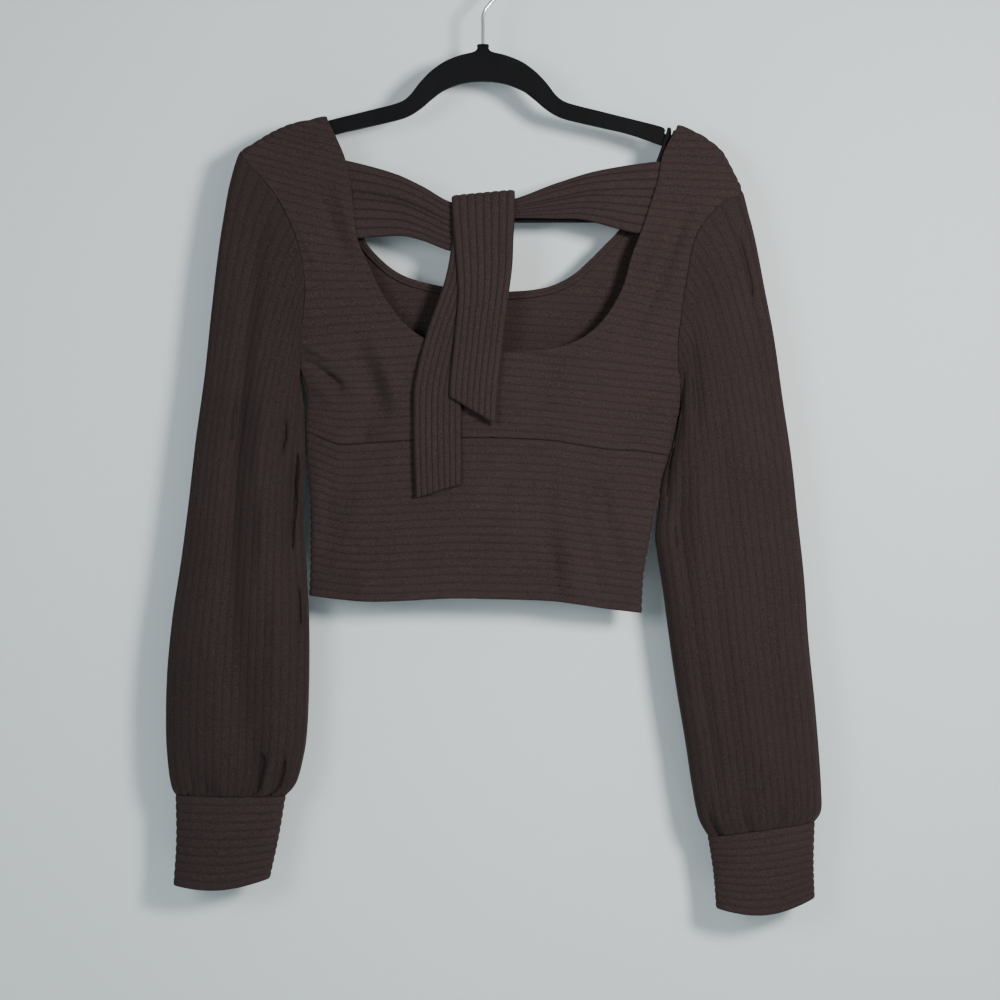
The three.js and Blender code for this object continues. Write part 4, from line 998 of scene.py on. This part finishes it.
def tape_material():
    """Thin woven tape."""
    name = "Woven tape"
    if name in bpy.data.materials:
        return bpy.data.materials[name]
    colour = tuple(bpy.context.scene.crop_top_colours.flock) + (1.0,)
    material, nodes, links, shader = new_material(name)
    tree = material.node_tree
    where = nodes.new("ShaderNodeTexCoord")
    wave = nodes.new("ShaderNodeTexWave")
    wave.bands_direction = "Z"
    wave.inputs["Scale"].default_value = 420.0
    wave.inputs["Distortion"].default_value = 1.5
    links.new(where.outputs["Object"], wave.inputs["Vector"])
    woven = mix_colour(tree, wave.outputs["Fac"], shade(colour, 0.5), shade(colour, 1.3))
    links.new(woven, shader.inputs["Base Color"])
    shader.inputs["Roughness"].default_value = 0.9
    shader.inputs["Specular IOR Level"].default_value = 0.1
    bump = nodes.new("ShaderNodeBump")
    bump.inputs["Strength"].default_value = 0.4
    bump.inputs["Distance"].default_value = 0.0002
    links.new(wave.outputs["Fac"], bump.inputs["Height"])
    links.new(bump.outputs["Normal"], shader.inputs["Normal"])
    return material


class CropTopSizes(bpy.types.PropertyGroup):
    """Sizes of the cloth."""

    cloth: FloatProperty(
        name="Cloth", description="One layer of knit between its ribs", default=1.8 * MM, unit="LENGTH"
    )
    ridge: FloatProperty(
        name="Ridge", description="How far a rib stands up", default=0.65 * MM, unit="LENGTH"
    )
    sleeve_ridge: FloatProperty(
        name="Sleeve ridge", description="The same on the sleeves, where it is pulled flat",
        default=0.42 * MM, unit="LENGTH"
    )
    tie: FloatProperty(
        name="Tie", description="Thickness of the flat tube of the tie", default=2.8 * MM, unit="LENGTH"
    )


class CropTopColours(bpy.types.PropertyGroup):
    """Colours of the top, its hanger and the wall."""

    knit: FloatVectorProperty(
        name="Knit", description="Dyed yarn", subtype="COLOR", default=(0.0262, 0.0174, 0.0166),
        min=0, max=1
    )
    flock: FloatVectorProperty(
        name="Flock", description="Flock of the hanger", subtype="COLOR", default=(0.006, 0.006, 0.0065),
        min=0, max=1
    )
    steel: FloatVectorProperty(
        name="Steel", description="Plated wire", subtype="COLOR", default=(0.78, 0.79, 0.8), min=0, max=1
    )
    wall: FloatVectorProperty(
        name="Wall", description="Painted wall and floor", subtype="COLOR", default=(0.565, 0.62, 0.63),
        min=0, max=1
    )


class CROPTOP_OT_bodice(bpy.types.Operator):
    """Adds the upper body panels, on the tie side and the plain side"""

    bl_idname = "croptop.bodice"
    bl_label = "Add bodice"

    def execute(self, context):
        panels = (("bodice_tie_side", TIE_SIDE, 0.066), ("bodice_plain_side", PLAIN_SIDE, 0.078))
        for name, face, area in panels:
            body_panel(name, bodice_point, face, BODICE_RIBS, neck_share(face))
        return {"FINISHED"}


class CROPTOP_OT_waist(bpy.types.Operator):
    """Adds the lower body panels, from the under-bust seam to the hem"""

    bl_idname = "croptop.waist"
    bl_label = "Add waist"

    def execute(self, context):
        for name, face in (("waist_tie_side", TIE_SIDE), ("waist_plain_side", PLAIN_SIDE)):
            body_panel(name, waist_point, face, WAIST_RIBS, 0)
        return {"FINISHED"}


class CROPTOP_OT_facing(bpy.types.Operator):
    """Adds the facing turned in along the plain side's neckline"""

    bl_idname = "croptop.facing"
    bl_label = "Add facing"

    def execute(self, context):
        u, v = grid(np.linspace(0, 1, 9), np.linspace(0, 1, FACING["rows"] + 1))
        here = facing_point(u, v)
        swell = FACING["thick"] * np.sqrt(np.clip(1 - (2 * u - 1) ** 4, 0, 1))
        outer = here - point(0 * u, swell, 0 * u)
        wall = Wall()
        wall.add(outer, here, (v * 0.5, u * 1.0 + 0.5))
        piece = wall.to_mesh("neck_facing_plain_side_cloth", knit_material("Rib knit"))
        nodes = ["neck_facing_plain_side"]
        finish_cloth(piece, nodes)
        return {"FINISHED"}


class CROPTOP_OT_sleeves(bpy.types.Operator):
    """Adds both sleeves"""

    bl_idname = "croptop.sleeves"
    bl_label = "Add sleeves"

    def execute(self, context):
        for name, side in (("sleeve_left", LEFT), ("sleeve_right", RIGHT)):
            nodes = [name + "_tie_side", name + "_plain_side"]
            columns = SLEEVE_RIBS * PER_RIB
            tube(name, nodes, sleeve_point, side, columns, SLEEVE_ROWS, SLEEVE_RIBS, 0, (0.26, 0.53))
        return {"FINISHED"}


class CROPTOP_OT_cuffs(bpy.types.Operator):
    """Adds both cuffs"""

    bl_idname = "croptop.cuffs"
    bl_label = "Add cuffs"

    def execute(self, context):
        for name, side in (("cuff_left", LEFT), ("cuff_right", RIGHT)):
            rows = CUFF_RIBS * PER_RIB
            tube(name, [name], cuff_point, side, CUFF_COLUMNS, rows, 0, CUFF_RIBS, (0.195, 0.08))
        return {"FINISHED"}


class CROPTOP_OT_tie(bpy.types.Operator):
    """Adds the two bands and the two tails of the tie"""

    bl_idname = "croptop.tie"
    bl_label = "Add tie"

    def execute(self, context):
        strip("tie_band_left", band_point(LEFT), 1, BAND_ROWS, (0.06, 0.125))
        strip("tie_band_right", band_point(RIGHT), -1, BAND_ROWS, (0.035, 0.16))
        strip("tie_tail_front", tail_point(FRONT_TAIL), -1, TAIL_ROWS, (0.052, 0.22))
        strip("tie_tail_rear", tail_point(REAR_TAIL), -1, TAIL_ROWS, (0.044, 0.245))
        return {"FINISHED"}


def smoothed(x, z, steps):
    """A closed outline through the points, with soft corners."""
    points = np.stack([x, z], axis=-1)
    count = len(points)
    made = []
    for i in range(count):
        a, b, c, d = (points[(i + k) % count] for k in (-1, 0, 1, 2))
        for s in np.arange(steps) / steps:
            h = [2 * s**3 - 3 * s**2 + 1, s**3 - 2 * s**2 + s, 3 * s**2 - 2 * s**3, s**3 - s**2]
            made.append(h[0] * b + h[1] * TANGENT * (c - a) + h[2] * c + h[3] * TANGENT * (d - b))
    return made


def curve_to_piece(curve, name, material, node):
    piece = bpy.data.objects.new(name, curve)
    bpy.context.scene.collection.objects.link(piece)
    bpy.ops.object.select_all(action="DESELECT")
    bpy.context.view_layer.objects.active = piece
    piece.select_set(True)
    bpy.ops.object.convert(target="MESH")
    piece = bpy.context.view_layer.objects.active
    bpy.ops.object.mode_set(mode="EDIT")
    bpy.ops.mesh.select_all(action="SELECT")
    bpy.ops.mesh.remove_doubles(threshold=2e-5)
    bpy.ops.mesh.normals_make_consistent(inside=False)
    bpy.ops.object.mode_set(mode="OBJECT")
    piece.name = name
    piece.data.materials.clear()
    piece.data.materials.append(material)
    bpy.ops.object.transform_apply(location=True, rotation=True, scale=True)
    bpy.ops.object.shade_smooth_by_angle(angle=math.radians(50))
    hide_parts(node)
    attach(piece, "root")
    return piece


class CROPTOP_OT_hanger(bpy.types.Operator):
    """Adds the hanger's arch, arms and bottom bar"""

    bl_idname = "croptop.hanger"
    bl_label = "Add hanger"

    def execute(self, context):
        curve = bpy.data.curves.new("hanger_outline", "CURVE")
        curve.dimensions = "2D"
        curve.fill_mode = "BOTH"
        bevel = HANGER["bevel"] * MM
        curve.extrude = HANGER["thick"] * MM / 2 - bevel
        curve.bevel_depth = bevel
        curve.bevel_resolution = 3
        curve.offset = -bevel
        for rows, top in ((HANGER_OUTER, False), (HANGER_INNER, True)):
            x = rows["x"]
            z = rows["z"]
            back = slice(None, -1) if top else slice(None)
            both_x = np.concatenate([x, -x[back][::-1]])
            both_z = np.concatenate([z, z[back][::-1]])
            outline = smoothed(both_x, both_z, HANGER["smooth"])
            spline = curve.splines.new("POLY")
            spline.points.add(len(outline) - 1)
            for target, (px, pz) in zip(spline.points, outline):
                target.co = (px * MM, pz * MM, 0.0, 1.0)
            spline.use_cyclic_u = True
        piece = curve_to_piece(curve, "hanger_body_flocked", flock_material(), "hanger_body")
        turned = piece.data
        for vertex in turned.vertices:
            x, z, y = vertex.co
            vertex.co = (x, -y, z)
        turned.update()
        return {"FINISHED"}


class CROPTOP_OT_hook(bpy.types.Operator):
    """Adds the wire hook"""

    bl_idname = "croptop.hook"
    bl_label = "Add hook"

    def execute(self, context):
        stem = list(zip(HOOK_STEM["x"], HOOK_STEM["z"]))
        centre = HOOK["wire"] / 2 - HOOK["round"]
        round_part = []
        for angle in np.radians(np.arange(HOOK["first"], HOOK["last"] + 1, HOOK["step"])):
            x = HOOK["round"] * math.cos(angle)
            round_part.append((x, centre + HOOK["round"] * math.sin(angle)))
        curve = bpy.data.curves.new("hook_line", "CURVE")
        curve.dimensions = "3D"
        curve.bevel_depth = HOOK["wire"] * MM / 2
        curve.bevel_resolution = 4
        curve.resolution_u = 8
        curve.use_fill_caps = True
        spline = curve.splines.new("BEZIER")
        points = stem + round_part
        spline.bezier_points.add(len(points) - 1)
        for target, (x, z) in zip(spline.bezier_points, points):
            target.co = (x * MM, 0.0, z * MM)
            target.handle_left_type = "AUTO"
            target.handle_right_type = "AUTO"
        piece = curve_to_piece(curve, "hanger_hook_wire", steel_material(), "hanger_hook")
        return {"FINISHED"}


class CROPTOP_OT_loop(bpy.types.Operator):
    """Gives the hanging loop its woven tape"""

    bl_idname = "croptop.loop"
    bl_label = "Dress hanging loop"

    def execute(self, context):
        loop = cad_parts["hanging_loop"]
        loop.data.materials.clear()
        loop.data.materials.append(tape_material())
        return {"FINISHED"}


def wall_material():
    """Matte paint with a faint roller texture, open from behind."""
    material, nodes, links, shader = new_material("Wall paint")
    tree = material.node_tree
    where = nodes.new("ShaderNodeTexCoord")
    fuzz = nodes.new("ShaderNodeGroup")
    fuzz.node_tree = fuzz_group()
    fuzz.inputs["Fine"].default_value = 400.0
    fuzz.inputs["Broad"].default_value = 1.2
    links.new(where.outputs["Object"], fuzz.inputs["Vector"])
    colour = tuple(bpy.context.scene.crop_top_colours.wall) + (1.0,)
    painted = mix_colour(tree, fuzz.outputs["Broad"], shade(colour, 0.97), shade(colour, 1.03))
    links.new(painted, shader.inputs["Base Color"])
    shader.inputs["Roughness"].default_value = 0.75
    bump = nodes.new("ShaderNodeBump")
    bump.inputs["Strength"].default_value = 0.12
    bump.inputs["Distance"].default_value = 0.0006
    links.new(fuzz.outputs["Fine"], bump.inputs["Height"])
    links.new(bump.outputs["Normal"], shader.inputs["Normal"])
    through = nodes.new("ShaderNodeBsdfTransparent")
    back = nodes.new("ShaderNodeNewGeometry")
    mix = nodes.new("ShaderNodeMixShader")
    links.new(back.outputs["Backfacing"], mix.inputs["Fac"])
    links.new(shader.outputs["BSDF"], mix.inputs[1])
    links.new(through.outputs["BSDF"], mix.inputs[2])
    links.new(mix.outputs["Shader"], nodes["Material Output"].inputs["Surface"])
    return material


def area_light(name, place, target, size, power, colour):
    light = bpy.data.lights.new(name, "AREA")
    light.shape = "DISK"
    light.size = size
    light.energy = power
    light.color = colour
    lamp = bpy.data.objects.new(name, light)
    lamp.location = place
    lamp.rotation_euler = (Vector(target) - Vector(place)).to_track_quat("-Z", "Y").to_euler()
    bpy.context.scene.collection.objects.link(lamp)
    return lamp


class CROPTOP_OT_stage(bpy.types.Operator):
    """Adds the wall, the floor, the lights and the camera"""

    bl_idname = "croptop.stage"
    bl_label = "Add stage"

    def execute(self, context):
        paint = wall_material()
        bpy.ops.object.select_all(action="DESELECT")
        upright = (math.pi / 2, 0, 0)
        middle = (0, WALL_Y, FLOOR_Z + STAGE_SIZE / 2)
        bpy.ops.mesh.primitive_plane_add(size=STAGE_SIZE, location=middle, rotation=upright)
        wall = bpy.context.view_layer.objects.active
        wall.name = "stage_wall"
        bpy.ops.mesh.primitive_plane_add(size=STAGE_SIZE, location=(0, 0, FLOOR_Z))
        floor = bpy.context.view_layer.objects.active
        floor.name = "stage_floor"
        for piece in (wall, floor):
            piece.data.materials.append(paint)
        aim = tuple(CENTRE)
        area_light("key", (0.68, -1.15, -0.2), aim, 0.3, 25, (1.0, 0.97, 0.94))
        area_light("fill", (-0.6, -1.2, -0.3), aim, 0.5, 8, (0.9, 0.96, 1.0))
        area_light("back", (0.3, 2.2, 0.2), aim, 1.6, 12, (1.0, 1.0, 1.0))
        world = bpy.data.worlds.new("Studio")
        world.use_nodes = True
        world.node_tree.nodes["Background"].inputs["Color"].default_value = (0.75, 0.8, 0.86, 1.0)
        world.node_tree.nodes["Background"].inputs["Strength"].default_value = 0.42
        context.scene.world = world
        lens = bpy.data.cameras.new("photo_view")
        lens.sensor_width = SENSOR
        lens.lens = SENSOR * DISTANCE / VIEW_WIDTH
        lens.clip_end = 30
        camera = bpy.data.objects.new("photo_view", lens)
        camera.location = (CENTRE.x, -DISTANCE, CENTRE.z)
        camera.rotation_euler = upright
        context.scene.collection.objects.link(camera)
        context.scene.camera = camera
        return {"FINISHED"}


class CROPTOP_PT_panel(bpy.types.Panel):
    """Lists the pieces of the top and its stage"""

    bl_idname = "CROPTOP_PT_panel"
    bl_label = "Crop top"
    bl_space_type = "VIEW_3D"
    bl_region_type = "UI"
    bl_category = "Crop top"

    def draw(self, context):
        for group in (context.scene.crop_top_sizes, context.scene.crop_top_colours):
            for name in group.__annotations__:
                self.layout.prop(group, name)
        for operator in STEPS:
            self.layout.operator(operator.bl_idname)


STEPS = (
    CROPTOP_OT_stage,
    CROPTOP_OT_bodice,
    CROPTOP_OT_waist,
    CROPTOP_OT_facing,
    CROPTOP_OT_sleeves,
    CROPTOP_OT_cuffs,
    CROPTOP_OT_tie,
    CROPTOP_OT_hanger,
    CROPTOP_OT_hook,
    CROPTOP_OT_loop,
)
CLASSES = (CropTopSizes, CropTopColours) + STEPS + (CROPTOP_PT_panel,)


def register():
    for item in CLASSES:
        bpy.utils.register_class(item)
    bpy.types.Scene.crop_top_sizes = PointerProperty(type=CropTopSizes)
    bpy.types.Scene.crop_top_colours = PointerProperty(type=CropTopColours)


def unregister():
    del bpy.types.Scene.crop_top_colours
    del bpy.types.Scene.crop_top_sizes
    for item in reversed(CLASSES):
        bpy.utils.unregister_class(item)


def main():
    register()
    bpy.ops.croptop.stage()
    bpy.ops.croptop.bodice()
    bpy.ops.croptop.waist()
    bpy.ops.croptop.facing()
    bpy.ops.croptop.sleeves()
    bpy.ops.croptop.cuffs()
    bpy.ops.croptop.tie()
    bpy.ops.croptop.hanger()
    bpy.ops.croptop.hook()
    bpy.ops.croptop.loop()


if __name__ == "__main__":
    main()
